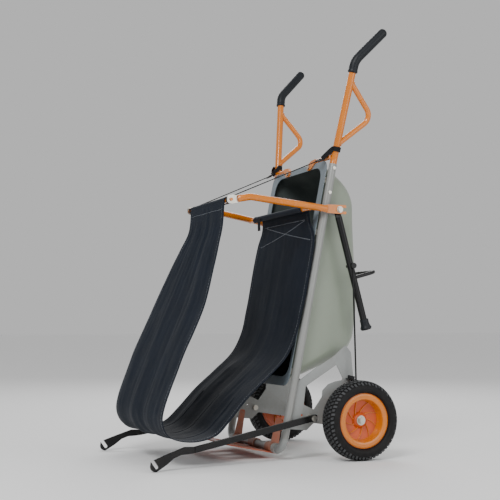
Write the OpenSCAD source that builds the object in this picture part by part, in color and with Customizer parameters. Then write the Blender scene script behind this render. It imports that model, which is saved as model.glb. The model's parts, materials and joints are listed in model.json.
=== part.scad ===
// Upright yard cart: a steel tub on a tubular frame with two wheels, a folding stand,
// a folding toe plate, two folding extension arms, and a fabric log sling on a lift-up frame.
// Cart frame used by most modules: X to the right, Y square to the side rails (rear positive),
// Z up the side rails, with its origin at the middle of the axle.

/* [Overall] */
// Lean of the side rails back from upright, in degrees
lean = 11.5; // [9.6:0.1:13.8]
// Outer diameter of the tyres
tyre_d = 247; // [206:1:296]
// Distance from the middle of the cart to the centre of each side rail
rail_half = 210; // [175:1:252]
// Distance from a side rail's centre to the middle plane of its wheel
wheel_out = 77; // [77:1:92]
// Distance that the origin lies ahead of the axle
origin_ahead = 277.2; // [240:0.1:310]

/* [Side frame] */
// Radius of the side rails and the toe tube
rail_r = 12.5; // [10.5:0.1:13]
// Wall of the frame tubes
tube_wall = 1.6; // [1:0.1:3]
// Distance that the side rails lie ahead of the axle
rail_ahead = 209; // [190:0.5:240]
// Height of the rail ends above the axle, along the rails
rail_top = 788; // [740:1:940]
// Drop of the toe tube below the axle, along the rails
toe_drop = 133; // [115:1:145]
// Bend radius of the toe tube at each rail
toe_bend = 34; // [28:1:44]
// Thickness of the plates
plate_t = 3; // [2:0.1:4]

/* [Tub] */
// Gap between the tub's wall and a side rail
tub_gap = 4; // [2:0.5:8]
// Thickness of the tub's sheet
tub_t = 2; // [1.5:0.1:2.5]
// Height of the tub's upper edge above the axle, along the rails
tub_top = 800; // [760:1:956]
// Height of the tub's lower edge above the axle, along the rails
tub_low = 62; // [52:1:74]
// Width of the front flange beside the upper opening
flange_side = 30; // [24:1:36]
// Width of the front flange at both ends
flange_end = 18; // [15:1:22]

/* [Wheels] */
// Width of the tyres
tyre_w = 72; // [60:1:76]
// Radius of the rims where the tyres sit
rim_r = 85; // [71:1:90]
// Radius of the axle
axle_r = 8; // [6.5:0.1:9.6]
// Reach of the hubs inward from the tyres' middle planes
hub_in = 29; // [24:1:33]
// Reach of the hubs outward from the tyres' middle planes
hub_out = 5; // [4:0.5:8]

/* [Handles] */
// Radius of the handle tubes
handle_r = 11.5; // [10:0.1:12.5]
// Radius of the rubber grips
grip_r = 15; // [13:0.5:18]
// Length of the handle tubes up to the grips
handle_len = 286; // [238:1:343]
// Outward splay of the handle tubes, in degrees
handle_splay = 11.3; // [9:0.1:13.5]
// Radius of the hand loops' rod
loop_r = 9; // [7.5:0.1:10.8]

/* [Stand] */
// Height of the stand pivot above the axle, along the rails
pivot_up = 642; // [600:1:700]
// Distance from a side rail's centre back to the stand pivot
pivot_back = 35; // [30:0.5:40]
// Radius of the pivot bolts
bolt_r = 6; // [5:0.1:7]
// Angle between a stowed leg and its side rail, in degrees
leg_angle = 26.7; // [24:0.1:32]
// Length of the legs
leg_len = 396; // [330:1:475]
// Radius of the leg tubes
leg_r = 11; // [9:0.1:12]
// Distance from the pivot down to the stand's rear bar
bar_down = 225; // [205:1:270]
// Reach of the stand's rear bar behind the legs
bar_reach = 89; // [80:1:107]
// Distance from the pivot down to the knobs
knob_down = 185; // [155:1:195]
// Radius of the link rods
link_r = 2.8; // [2.3:0.1:3.4]

/* [Extension arms] */
// Height of the arm pivot relative to the axle, along the rails
arm_up = -21; // [-25:1:-17]
// Distance of the arm pivot ahead of the axle
arm_ahead = 135; // [125:0.5:145]
// Length of the straight bars ahead of the pivot
arm_len = 404; // [340:1:484]
// Downward slope of the bars, in degrees
arm_slope = 10.5; // [8.8:0.1:11]
// Outward splay of the arms, in degrees
arm_splay = 4; // [4:0.1:4.8]
// Height of the bars
arm_h = 20; // [17:0.5:22]
// Width of the bars
arm_w = 10; // [8:0.5:11]
// Thickness of the hook plates
hook_t = 6; // [5:0.5:8]
// Width of the hooks' slots
slot_w = 10.5; // [9:0.5:12.5]

/* [Toe plate] */
// Depth of the toe plate ahead of its hinge line
toe_len = 166; // [140:1:172]
// Half of the toe plate's width
toe_half = 150; // [125:1:160]
// Height of the toe plate's rear ears
ear_up = 98; // [82:1:105]

/* [Sling frame] */
// Radius of the frame's side tubes
side_r = 11; // [9:0.1:12]
// Radius of the frame's cross bars
bar_r = 8; // [6.5:0.1:9]
// Distance from the pivot to the front bar
frame_reach = 349; // [330:1:380]
// Inward offset of the frame's front ends from the pivots
frame_taper = 64; // [60:1:70]
// Distance from the pivot to the rear bar
rear_bar = 101; // [98:1:106]

/* [Sling] */
// Thickness of the sling's fabric
fabric_t = 4; // [3:0.5:5]
// Half of the sling's width at the bars
sling_top_half = 150; // [125:1:158]

/* [Clearances] */
// Radial running clearance of the wheel bearings and pivots
run = 0.06; // [0.02:0.01:0.1]
// Gap between faces that move past each other
face_gap = 0.4; // [0.3:0.05:1]
// Gap at welded or seated tube joints
seat = 0.2; // [0.1:0.05:0.3]

/* [Hidden] */
$fn = 48;
axle_z = tyre_d / 2;
track_half = rail_half + wheel_out;
rail_out = rail_half + rail_r;
rim_front = rail_ahead + rail_r + 5;
tub_half = rail_half - rail_r - tub_gap;
gusset_out = rail_half + plate_t / 2;
leg_x = rail_out + 1.5;
leg_out = leg_x + leg_r;
fork_t = 4;
fork_x = leg_out + face_gap + 4;
fork_out = fork_x + fork_t;
fork_mid = fork_x + fork_t / 2;
arm_x = gusset_out + 15 + arm_w / 2;
link_x = leg_out + face_gap + 4;
toe_z = -toe_drop;
toe_plate_t = 4;
toe_plate_z = toe_z - rail_r - 1;
sleeve_out = rail_r + 4;

// Points of the cart frame
pivot = [0, -rail_ahead + pivot_back, pivot_up];
arm_pin = [0, -arm_ahead, arm_up];
base = [rail_half, -rail_ahead, rail_top];
neck = base + [0, 0, 14];
handle_dir = [sin(handle_splay), -0.058, cos(handle_splay)] / norm([sin(handle_splay), -0.058, cos(handle_splay)]);
grip_low = neck + handle_dir * handle_len;
grip_bend = grip_low + handle_dir * 40;
grip_dir = [0.15, 0.53, 0.84] / norm([0.15, 0.53, 0.84]);
grip_end = grip_bend + grip_dir * 138;

// Places in the row frame
function placed(p) = [p.x, p.y * cos(lean) + p.z * sin(lean) + origin_ahead,
                      axle_z - p.y * sin(lean) + p.z * cos(lean)];
pivot_at = placed(pivot);
arm_at = placed(arm_pin);
front_bar = pivot_at + [0, -frame_reach, 22];
back_bar = pivot_at + [0, -rear_bar, 2];
tip_x = fork_mid - frame_taper;

// Sling outline: [distance behind the front bar, height below it, half width] down the front panel
front_run = [[-10.6, 7.2, 0], [-17, 77, 4], [-40, 140, 26], [-65, 206, 52], [-110, 328, 92], [-172, 464, 96],
             [-196, 524, 96], [-232, 620, 92], [-240, 672, 90], [-222, 712, 88], [-184, 729, 90],
             [-130, 732, 92], [-70, 716, 90], [-24, 674, 86], [38, 608, 80], [108, 547, 74]];
// [distance ahead of the tub's flange, height up the rails, half width] up the rear panel
rear_run = [[30, 150, 68], [8, 225, 60], [5, 305, 56], [4.5, 390, 54], [4.5, 470, 52],
            [6, 540, 44], [14, 590, 30], [26, 632, 8]];

// ---- helpers ----

module cart() translate([0, origin_ahead, axle_z]) rotate([-lean, 0, 0]) children();
module left() mirror([1, 0, 0]) children();
module both() { children(); left() children(); }

// A round bar from a to b
module rod(a, b, r) {
    d = b - a;
    translate(a) rotate([0, acos(d.z / norm(d)), atan2(d.y, d.x)]) cylinder(h = norm(d), r = r);
}

// A tube from a to b, open at both ends
module tube(a, b, r, wall = tube_wall) {
    u = (b - a) / norm(b - a);
    difference() {
        rod(a, b, r);
        rod(a - u, b + u, r - wall);
    }
}

// A round bar through the points, with a slightly proud ball at each inner one
ball_over = 0.3;
module bent_rod(pts, r) {
    for (i = [1:len(pts) - 1]) rod(pts[i - 1], pts[i], r);
    for (i = [1:len(pts) - 2]) translate(pts[i]) rotate([90, 0, 0]) sphere(r + ball_over);
}

// A bar along X between x0 and x1 through the point p
module x_bar(x0, x1, p, r) translate([x0, p.y, p.z]) rotate([0, 90, 0]) cylinder(h = x1 - x0, r = r);

// A plate of the (Y, Z) outline of its children between x0 and x1
module x_plate(x0, x1) translate([x0, 0, 0]) rotate([90, 0, 90]) linear_extrude(x1 - x0) children();

function unit(v) = v / norm(v);
function arc_point(c, w, r) = c + r * [cos(w), sin(w)];
// The points of one rounded corner b between a and c
function corner(a, b, c, r, n = 5) =
    let (u = unit(a - b), v = unit(c - b), half = acos(u * v) / 2,
         o = b + unit(u + v) * r / sin(half),
         p = b + u * r / tan(half) - o, q = b + v * r / tan(half) - o,
         w0 = atan2(p.y, p.x), turn = (atan2(q.y, q.x) - w0 + 540) % 360 - 180)
    [for (i = [0:n]) arc_point(o, w0 + turn * i / n, r)];
// A closed outline with every corner rounded
function rounded(pts, r) =
    [for (i = [0:len(pts) - 1])
        each corner(pts[(i + len(pts) - 1) % len(pts)], pts[i], pts[(i + 1) % len(pts)],
                    is_list(r) ? r[i] : r)];

// ---- wheels and axle ----

module axle() color("silver") cart() x_bar(-track_half - hub_out - 11, track_half + hub_out + 11, [0, 0, 0], axle_r);

module axle_spacers() color("dimgray") cart() both()
    difference() {
        x_bar(gusset_out + face_gap / 2, track_half - hub_in - face_gap, [0, 0, 0], axle_r + 3);
        x_bar(0, track_half, [0, 0, 0], axle_r + run);
    }

module axle_nuts() color("silver") cart() both() difference() {
    union() {
        x_bar(track_half + hub_out + face_gap, track_half + hub_out + 2, [0, 0, 0], 15);
        translate([track_half + hub_out + 2, 0, 0]) rotate([0, 90, 0]) cylinder(h = 7, r = 11, $fn = 6);
    }
    x_bar(0, track_half + hub_out + 20, [0, 0, 0], axle_r + run);
}

// Tyre section: tread crown, rounded shoulders and side walls down to the bead
module tyre() translate([track_half, 0, 0]) rotate([0, 90, 0]) rotate_extrude($fn = 96) {
    low = rim_r + seat;
    top = tyre_d / 2;
    half = tyre_w / 2;
    polygon(rounded([[low, -half + 12], [low + 8, -half + 1], [top - 24, -half], [top - 7, -half + 8], [top, -half + 22],
                     [top, half - 22], [top - 7, half - 8], [top - 24, half], [low + 8, half - 1], [low, half - 12]],
                    [1, 5, 10, 6, 10, 10, 6, 10, 5, 1]));
}

module tyre_right() color("#222222") cart() tyre();
module tyre_left() color("#222222") cart() left() tyre();

// Rim: barrel, dished web and hub with the axle's bore
module rim() translate([track_half, 0, 0]) rotate([0, 90, 0]) difference() {
    seat_half = tyre_w / 2 - 10;
    rotate_extrude($fn = 96) polygon([
        [axle_r - 1, -hub_in], [20, -hub_in], [22, -13], [rim_r - 10, -20], [rim_r - 7, -seat_half], [rim_r, -seat_half],
        [rim_r, seat_half], [rim_r - 8, seat_half + 2], [rim_r - 12, seat_half - 4], [rim_r - 15, 0], [26, -5],
        [21, hub_out - 3], [17, hub_out], [axle_r - 1, hub_out]]);
    cylinder(h = tyre_w, r = axle_r + run, center = true);
}

module rim_right() color("#f08a24") cart() rim();
module rim_left() color("#f08a24") cart() left() rim();

// ---- side frame ----

module side_rail() difference() {
    tube([rail_half, -rail_ahead, toe_z + toe_bend], base, rail_r);
    for (z = rivet_rows) x_bar(rail_half, rail_out + 5, [0, -rail_ahead, z], rivet_r + seat);
}

rivet_r = 3;
rivet_rows = [rail_top - 14, rail_top - 96];

module side_rail_right() color("#b9bcb4") cart() side_rail();
module side_rail_left() color("#b9bcb4") cart() left() side_rail();

module rail_rivets() color("silver") cart() both() for (z = rivet_rows) {
    x_bar(rail_out - 5, rail_out + 0.5, [0, -rail_ahead, z], rivet_r);
    x_bar(rail_out + 0.3, rail_out + 2.5, [0, -rail_ahead, z], rivet_r + 2.5);
}

// The toe tube: a cross tube with a bend up to each rail
module toe_path(r, over) {
    x_bar(-rail_half + toe_bend, rail_half - toe_bend, [0, -rail_ahead, toe_z], r);
    both() {
        translate([rail_half - toe_bend, -rail_ahead, toe_z + toe_bend]) rotate([90, 0, 0])
            rotate([0, 0, -90]) rotate_extrude(angle = 90) translate([toe_bend, 0]) circle(r);
        if (over > 0) rod([rail_half, -rail_ahead, toe_z + toe_bend - 0.01],
                          [rail_half, -rail_ahead, toe_z + toe_bend + over], r);
    }
}

module toe_tube() color("#b9bcb4") cart() difference() {
    toe_path(rail_r, 0);
    toe_path(rail_r - tube_wall, 1);
}

collar_x = toe_half + 4;

module toe_collars() color("#a8aaa6") cart() both() difference() {
    x_bar(collar_x, rail_half - toe_bend - 1, [0, -rail_ahead, toe_z], rail_r + 3.5);
    x_bar(0, rail_half, [0, -rail_ahead, toe_z], rail_r + seat);
}

// Gusset outline, (distance behind the rail's rear face, height): plate from the rail to the axle and the tub
module gusset_outline() {
    g = -rail_ahead + rail_r + face_gap / 2;
    difference() {
        polygon(rounded([[g, 84], [g + 18, 102], [g + 58, 140], [g + 104, 178], [g + 143, 226],
                         [g + 168, 206], [g + 193, 122], [32, 24], [27, -31], [-26, -31], [-arm_ahead + 16, arm_up - 14],
                         [-arm_ahead - 4, arm_up - 40], [g, arm_up - 46]], [1, 3, 8, 8, 5, 8, 20, 14, 22, 16, 10, 6, 1]));
        polygon(rounded([[g + 28, 72], [g + 123, 158], [g + 157, 116], [g + 129, 106], [g + 106, 93],
                         [g + 89, 70], [g + 91, 50], [g + 70, 6], [g + 32, 15]], [5, 4, 6, 10, 10, 8, 6, 5, 5]));
        circle(axle_r + seat / 2);
        translate([-arm_ahead, arm_up]) circle(bolt_r + seat / 2);
        translate([g + 32, -18]) circle(3.5);
    }
}

module gusset() x_plate(rail_half - plate_t / 2, gusset_out) gusset_outline();
module gusset_right() color("#b9bcb4") cart() gusset();
module gusset_left() color("#b9bcb4") cart() left() gusset();

// ---- tub ----

floor_knots = [[tub_top - 98, rim_front - 76, 42], [360, rim_front + 9, 52], [268, rim_front + 12, 55]];

// The pan's outer shape, drawn smaller by inset for the hollow
module pan(inset) hull() {
    rim_t = inset > 0 ? 4 : 2;
    translate([0, -rim_front + (inset > 0 ? -1 : 0), 0]) rotate([-90, 0, 0]) linear_extrude(rim_t)
        polygon([for (p = rounded([[-tub_half + inset, tub_low + 8 + inset], [tub_half - inset, tub_low + 8 + inset],
                                   [tub_half - inset, tub_top - 8 - inset], [-tub_half + inset, tub_top - 8 - inset]], 42))
                 [p.x, -p.y]]);
    for (k = floor_knots, side = [-1, 1])
        translate([side * (tub_half - 30 - k[2]), -rim_front + k[1] - k[2], k[0]]) sphere(k[2] - inset, $fn = 40);
}

// Front flange: wide beside the upper opening, narrow below, with a slanted step between
module flange_outline() {
    out = tub_half + 9;
    step_z = 522;
    difference() {
        polygon(rounded([[-out, tub_low], [out, tub_low], [out, tub_top], [-out, tub_top]], 34));
        polygon(rounded([[-tub_half + 5, tub_low + 10 + flange_end], [tub_half - 5, tub_low + 10 + flange_end],
                         [tub_half - 5, step_z - 40], [out - flange_side, step_z], [out - flange_side, tub_top - flange_end],
                         [-out + flange_side, tub_top - flange_end], [-out + flange_side, step_z], [-tub_half + 5, step_z - 40]],
                        [40, 40, 6, 6, 44, 44, 6, 6]));
    }
}

module tub() color("#b4b7ae") cart() difference() {
    union() {
        pan(0);
        translate([0, -rim_front + tub_t, 0]) rotate([90, 0, 0]) linear_extrude(tub_t) flange_outline();
    }
    intersection() {
        pan(tub_t);
        union() {
            translate([-rail_half, -rim_front + tub_t, 0]) cube([2 * rail_half, 400, 900]);
            translate([0, -rim_front + tub_t + 1, 0]) rotate([90, 0, 0]) linear_extrude(tub_t + 3) difference() {
                translate([-rail_half, 0]) square([2 * rail_half, 900]);
                flange_outline();
            }
        }
    }
    for (side = [-1, 1]) translate([side * eye_x, -rim_front - 1, eye_z]) rotate([-90, 0, 0]) cylinder(h = 20, r = 4 + seat / 2);
}

// Spacers that hold the tub's flange off the rails
module tub_spacers() color("silver") cart() both() for (z = spacer_rows) difference() {
    translate([tub_half + 3.5, -rim_front + tub_t + seat, z - 9]) cube([5, rim_front - rail_ahead - tub_t - seat, 18]);
    translate([rail_half, -rail_ahead, z - 10]) cylinder(h = 20, r = rail_r + seat);
}

spacer_rows = [110, 330, 560, rail_top - 55];

// ---- handles ----

eye_x = 79;
eye_z = tub_top - 9;

module handle() translate([0, 0, seat / 2]) difference() {
    bent_rod([base, neck, grip_bend - handle_dir * 4], handle_r);
    rod(neck + handle_dir * 20, grip_bend, handle_r - tube_wall);
}

module handle_right() color("#f08a24") cart() handle();
module handle_left() color("#f08a24") cart() left() handle();

module grip() difference() {
    union() {
        bent_rod([grip_low, grip_bend, grip_end], grip_r);
        rod(grip_end - grip_dir * 3, grip_end + grip_dir * 9, grip_r - 3);
    }
    translate([0, 0, seat / 2]) rod(grip_low - handle_dir * 20, grip_bend - handle_dir * 3, handle_r + run);
}

module grip_right() color("#1c1c1c") cart() grip();
module grip_left() color("#1c1c1c") cart() left() grip();

// Hand loop: two struts and a knee, welded to the back of the handle tube
module hand_loop() difference() {
    knee_low = neck + handle_dir * 150 + [2, 86, 4];
    knee_top = knee_low + [5, -4, 24];
    bent_rod([neck + handle_dir * 50, knee_low, knee_top, neck + handle_dir * 258], loop_r);
    rod(neck, grip_low + handle_dir * 20, handle_r + seat);
}

module hand_loop_right() color("#f08a24") cart() hand_loop();
module hand_loop_left() color("#f08a24") cart() left() hand_loop();

// Handle foot: a stub from the handle's base inward, flattened to an eye bolted to the tub's flange
foot_y = -rim_front + 5;
foot_z = tub_top + 9;

module handle_foot() difference() {
    union() {
        x_bar(eye_x + 16, rail_half, [0, foot_y, foot_z], 7.5);
        translate([0, -rim_front - seat, 0]) rotate([90, 0, 0]) linear_extrude(3.5)
            polygon(rounded([[eye_x - 12, eye_z - 11], [eye_x + 14, eye_z - 9], [eye_x + 40, foot_z - 6],
                             [eye_x + 40, foot_z + 6], [eye_x + 8, foot_z + 4], [eye_x - 12, eye_z + 10]], [9, 4, 2, 3, 4, 9]));
    }
    translate([0, 0, seat / 2]) bent_rod([base, neck, grip_low], handle_r + seat);
    translate([-rail_half, -rim_front - seat / 2, 0]) cube([3 * rail_half, 30, tub_top + seat]);
    translate([eye_x, -rim_front - 10, eye_z]) rotate([-90, 0, 0]) cylinder(h = 20, r = 4 + seat / 2);
}

module handle_foot_right() color("#f08a24") cart() handle_foot();
module handle_foot_left() color("#f08a24") cart() left() handle_foot();

module foot_bolts() color("silver") cart() for (side = [-1, 1])
    translate([side * eye_x, -rim_front - seat - 3.5 - seat, eye_z]) {
        rotate([-90, 0, 0]) cylinder(h = 14, r = 4);
        rotate([90, 0, 0]) cylinder(h = 4.5, r = 7);
    }

// ---- stand ----

module stand_lugs() color("#b9bcb4") cart() both() x_plate(rail_half - 2, rail_half + 2) difference() {
    union() {
        translate([pivot.y, pivot.z]) circle(17);
        translate([-rail_ahead + rail_r + face_gap / 2, pivot.z - 17]) square([pivot_back - rail_r, 34]);
    }
    translate([pivot.y, pivot.z]) circle(bolt_r + seat / 2);
}

module pivot_bolts() color("silver") cart() both() {
    x_bar(rail_half - 6, fork_out + 5.5, pivot, bolt_r);
    x_bar(rail_half + 2 + face_gap / 2, leg_x - 3 - face_gap, pivot, bolt_r + 4);
    x_bar(leg_out + face_gap, fork_x - face_gap, pivot, bolt_r + 3);
    x_bar(fork_out + face_gap, fork_out + 2, pivot, bolt_r + 4.5);
    translate([fork_out + 2, pivot.y, pivot.z]) rotate([0, 90, 0]) cylinder(h = 5, r = 9, $fn = 6);
    x_bar(rail_half - 7, rail_half - 2 - face_gap / 2, pivot, 9);
}

// The stand's own frame: its origin is the pivot and the legs run along -Z
module stand() cart() translate(pivot) rotate([leg_angle, 0, 0]) children();

tongue = 26;

module leg() difference() {
    union() {
        tube([leg_x, 0, -tongue + 2], [leg_x, 0, -leg_len + 12], leg_r);
        x_plate(leg_x - 3, leg_x + 3) union() {
            circle(11);
            translate([-leg_r + 1, -tongue]) square([2 * leg_r - 2, tongue]);
        }
    }
    x_bar(0, leg_out + 5, [0, 0, 0], bolt_r + run);
    x_bar(0, leg_out + 5, [0, 0, -knob_down], knob_r + seat / 2);
}

knob_r = 4;

module leg_right() color("#1e1e1e") stand() leg();
module leg_left() color("#1e1e1e") stand() left() leg();

module stand_bar() color("#1e1e1e") stand() {
    bend = 26;
    r = 6;
    x_bar(-leg_x + bend, leg_x - bend, [0, bar_reach, -bar_down], r);
    both() {
        translate([leg_x - bend, bar_reach - bend, -bar_down]) rotate_extrude(angle = 90) translate([bend, 0]) circle(r);
        difference() {
            rod([leg_x, 0, -bar_down], [leg_x, bar_reach - bend, -bar_down], r);
            rod([leg_x, 0, -bar_down - 20], [leg_x, 0, -bar_down + 20], leg_r + seat);
        }
    }
}

// Rubber foot: a flared cup on the end of each leg
module foot() translate([leg_x, 0, -leg_len]) difference() {
    rotate_extrude() polygon([[0, 0], [15, 0], [17, 3], [16, 12], [leg_r + 2.5, 24], [leg_r + 2, 34], [0, 34]]);
    translate([0, 0, 12 - seat]) cylinder(h = 30, r = leg_r + run);
}

module foot_right() color("#161616") stand() foot();
module foot_left() color("#161616") stand() left() foot();

module stand_knobs() color("#2a2a2a") stand() both() {
    x_bar(leg_x - leg_r - 4, link_x + 8, [0, 0, -knob_down], knob_r);
    x_bar(link_x + 3 + face_gap, link_x + 9, [0, 0, -knob_down], 9);
    x_bar(leg_x - leg_r - 6, leg_x - leg_r - face_gap, [0, 0, -knob_down], 7);
}

// Link rods: an eye on each knob and a rod that slides in its guide
guide = [0, -10, 121];
knob = pivot + [0, knob_down * sin(leg_angle), -knob_down * cos(leg_angle)];
link_dir = unit(guide - knob);
link_len = norm(guide - knob) + 128;

module link_rod() difference() {
    union() {
        x_bar(link_x - 3, link_x + 3, knob, knob_r + 4);
        rod([link_x, knob.y, knob.z] + link_dir * (knob_r + 2), [link_x, knob.y, knob.z] + link_dir * link_len, link_r);
    }
    x_bar(0, link_x + 10, knob, knob_r + run);
}

module link_rod_right() color("#1e1e1e") cart() link_rod();
module link_rod_left() color("#1e1e1e") cart() left() link_rod();

// Slotted guide for each link rod, bolted to the gusset
module link_guides() color("#1e1e1e") cart() both() {
    top = guide.z + 2;
    difference() {
        translate([gusset_out + seat, guide.y - 23, top - 3]) cube([link_x + 9 - gusset_out, 46, 3]);
        translate([link_x - link_r - 1.5, guide.y - 18, top - 10]) cube([2 * link_r + 3, 36, 20]);
    }
    translate([gusset_out + seat, guide.y - 16, top - 3]) cube([3, 24, 14]);
}

// ---- extension arms ----

// The arm's own frame: its origin is the arm pivot, with the arm's splay taken out
module arm() translate([arm_x, arm_at.y, arm_at.z]) rotate([0, 0, arm_splay]) children();

arm_drop = tan(arm_slope);
arm_top = 10.5;

module arm_bar() difference() {
    arm() translate([-arm_w / 2, 0, 0]) x_plate(0, arm_w)
        polygon(rounded([[13, arm_top + 2], [13, arm_top + 2 - arm_h], [0, arm_top - arm_h],
                         [-arm_len, arm_top - arm_h - arm_len * arm_drop + 2], [-arm_len, arm_top - arm_len * arm_drop],
                         [0, arm_top]], [5, 5, 3, 0.5, 0.5, 3]));
    x_bar(0, arm_x + 20, arm_at, bolt_r + run);
}

module arm_bar_right() color("#1a1a1a") arm_bar();
module arm_bar_left() color("#1a1a1a") left() arm_bar();

// Hook plate: gooseneck, flat blade and a slot that opens up and forward
module arm_hook() arm() translate([-hook_t / 2, -arm_len - seat, arm_top - arm_len * arm_drop]) x_plate(0, hook_t) difference() {
    polygon(rounded([[0, 0], [-32, 1], [-78, -14], [-136, -34], [-140, -58], [-122, -66], [-88, -46], [-66, -29],
                     [-44, -21], [-20, -20], [0, -18]], [0.5, 20, 40, 5, 14, 8, 30, 16, 20, 10, 0.5]));
    translate([-119, -52]) rotate(35) {
        circle(d = slot_w);
        translate([-slot_w / 2, 0]) square([slot_w, 60]);
    }
}

module arm_hook_right() color("#1a1a1a") arm_hook();
module arm_hook_left() color("#1a1a1a") left() arm_hook();

module arm_bolts() color("silver") both() {
    x_bar(rail_half - 8, arm_x + arm_w / 2 + 4, arm_at, bolt_r);
    x_bar(gusset_out + face_gap / 2, arm_x - arm_w / 2 - face_gap - 1, arm_at, bolt_r + 5);
    x_bar(arm_x + arm_w / 2 + face_gap + 1, arm_x + arm_w / 2 + 7, arm_at, bolt_r + 3);
    x_bar(rail_half - 9, rail_half - plate_t / 2 - face_gap / 2, arm_at, bolt_r + 3);
}

// ---- toe plate ----

sleeve_w = 42;

module toe_plate() color("#e0662a") cart() {
    translate([0, 0, toe_plate_z - toe_plate_t]) linear_extrude(toe_plate_t) difference() {
        translate([0, -rail_ahead]) polygon(rounded([[-toe_half, 14], [toe_half, 14], [toe_half - 10, -toe_len],
                                                     [-toe_half + 10, -toe_len]], [4, 4, 24, 24]));
        for (x = [-1, 0, 1]) translate([x * 78, -rail_ahead - toe_len / 2])
            polygon(rounded([[-22, -34], [22, -34], [22, 34], [-22, 34]], 12));
    }
}

module toe_sleeves() color("#e0662a") cart() for (x = [-toe_half, -sleeve_w / 2, toe_half - sleeve_w]) difference() {
    x_bar(x, x + sleeve_w, [0, -rail_ahead, toe_z], sleeve_out);
    x_bar(x - 1, x + sleeve_w + 1, [0, -rail_ahead, toe_z], rail_r + run);
    translate([x - 1, -rail_ahead - 30, toe_plate_z - 20]) cube([sleeve_w + 2, 60, 20]);
}

// Upright ears that start at the end sleeves and stop the plate against the rails' line
module toe_ears() color("#e0662a") cart() both() x_plate(toe_half - 6, toe_half - 2) difference() {
    polygon(rounded([[-rail_ahead - 14, toe_z], [-rail_ahead + 15, toe_z], [-rail_ahead + 10, toe_z + ear_up],
                     [-rail_ahead - 8, toe_z + ear_up]], [1, 1, 6, 6]));
    translate([-rail_ahead, toe_z]) circle(sleeve_out + seat / 4);
}

// ---- sling frame ----

knee_at = [fork_mid - frame_taper * 0.82, pivot_at.y - 289, pivot_at.z + 32];
side_start = [fork_mid, pivot_at.y - 43, pivot_at.z];
side_end = [tip_x + 3, pivot_at.y - 326, pivot_at.z + 25];

module side_tube() difference() {
    back = unit(knee_at - side_start);
    bent_rod([side_start, knee_at, side_end], side_r);
    rod(side_start + back * 38, knee_at - back * 22, side_r - tube_wall);
    translate([fork_x - seat, side_start.y - 31, side_start.z - 30]) cube([fork_t + 2 * seat, 70, 60]);
    translate([tip_x - 2 - seat, side_end.y - 30, side_end.z - 30]) cube([4 + 2 * seat, 44, 60]);
}

module side_tube_right() color("#f59a23") side_tube();
module side_tube_left() color("#f59a23") left() side_tube();

// Fork plate: two prongs that open to the rear and straddle the pivot bolt
module fork() x_plate(fork_x, fork_out) difference() {
    translate([pivot_at.y, pivot_at.z]) polygon(rounded([[24, 15], [-42, 14], [-73, 8], [-73, -6],
                                                         [-42, -13], [24, -15]], [4, 6, 3, 3, 6, 4]));
    translate([pivot_at.y, pivot_at.z]) circle(bolt_r + run);
    translate([pivot_at.y, pivot_at.z - bolt_r - run]) square([40, 2 * (bolt_r + run)]);
}

module fork_right() color("#f59a23") fork();
module fork_left() color("#f59a23") left() fork();

module tip_plates() color("silver") both() x_plate(tip_x - 2, tip_x + 2) difference() {
    translate([front_bar.y, front_bar.z]) polygon(rounded([[34, 13], [34, -7], [4, -13], [-13, -11], [-13, 12], [4, 15]],
                                                          [3, 3, 6, 9, 9, 6]));
    translate([front_bar.y, front_bar.z]) circle(bar_r - 3 + run);
}

module front_cross_bar() color("#f59a23") {
    difference() {
        x_bar(-tip_x + 2 + seat, tip_x - 2 - seat, front_bar, bar_r);
        x_bar(-tip_x, tip_x, front_bar, bar_r - tube_wall);
    }
    both() x_bar(tip_x - 12, tip_x + 6, front_bar, bar_r - 3);
    both() x_bar(tip_x - 12, tip_x - 6, front_bar, bar_r - tube_wall / 2);
}

module rear_cross_bar() color("#f59a23") difference() {
    reach = fork_mid + 2;
    x_bar(-reach, reach, back_bar, bar_r);
    x_bar(-reach - 1, reach + 1, back_bar, bar_r - tube_wall);
    both() rod(side_start, knee_at, side_r + seat);
    both() translate([fork_x - 8, back_bar.y - 40, back_bar.z - 40]) cube([60, 80, 80]);
}

// ---- sling ----

function flange_at(ahead, z) = placed([0, -rim_front - ahead, z]);
stations = concat(
    [for (q = front_run) [front_bar.y + q[0], front_bar.z - q[1], sling_top_half + q[2]]],
    [for (q = rear_run) let (p = flange_at(q[0], q[1])) [p.y, p.z, sling_top_half + q[2]]],
    [[back_bar.y + 8.8, back_bar.z + 9.3, sling_top_half]]);

module cloth_rod(k) translate([-k[2], k[0], k[1]]) rotate([0, 90, 0]) cylinder(h = 2 * k[2], d = fabric_t, $fn = 8);

module sling_panel() color("#20242e") for (i = [1:len(stations) - 1]) hull() {
    cloth_rod(stations[i - 1]);
    cloth_rod(stations[i]);
}

module bar_loop(p) difference() {
    x_bar(-sling_top_half, sling_top_half, p, bar_r + 2.5);
    x_bar(-sling_top_half - 1, sling_top_half + 1, p, bar_r + face_gap);
}

module front_loop() color("#20242e") bar_loop(front_bar);
module rear_loop() color("#20242e") bar_loop(back_bar);

// Loose end of the seat strap below the rear bar
module strap_tail() color("#16181d") translate([-sling_top_half + 12, back_bar.y - bar_r - 4.8, back_bar.z - 44]) cube([22, 2, 44]);

// ---- stay cords ----

cord_r = 1.6;
strap_at = placed(neck + handle_dir * 36);
cord_top = strap_at + [-28, -40, -29];
cord_low = [tip_x - 14, front_bar.y + 3, front_bar.z + bar_r + 1.6];

cord_dir = unit(cord_top - cord_low);

module stay_cord() rod(cord_top - cord_dir * 16.2, cord_low, cord_r, $fn = 8);
module stay_cord_right() color("#101010") stay_cord();
module stay_cord_left() color("#101010") left() stay_cord();

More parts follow.
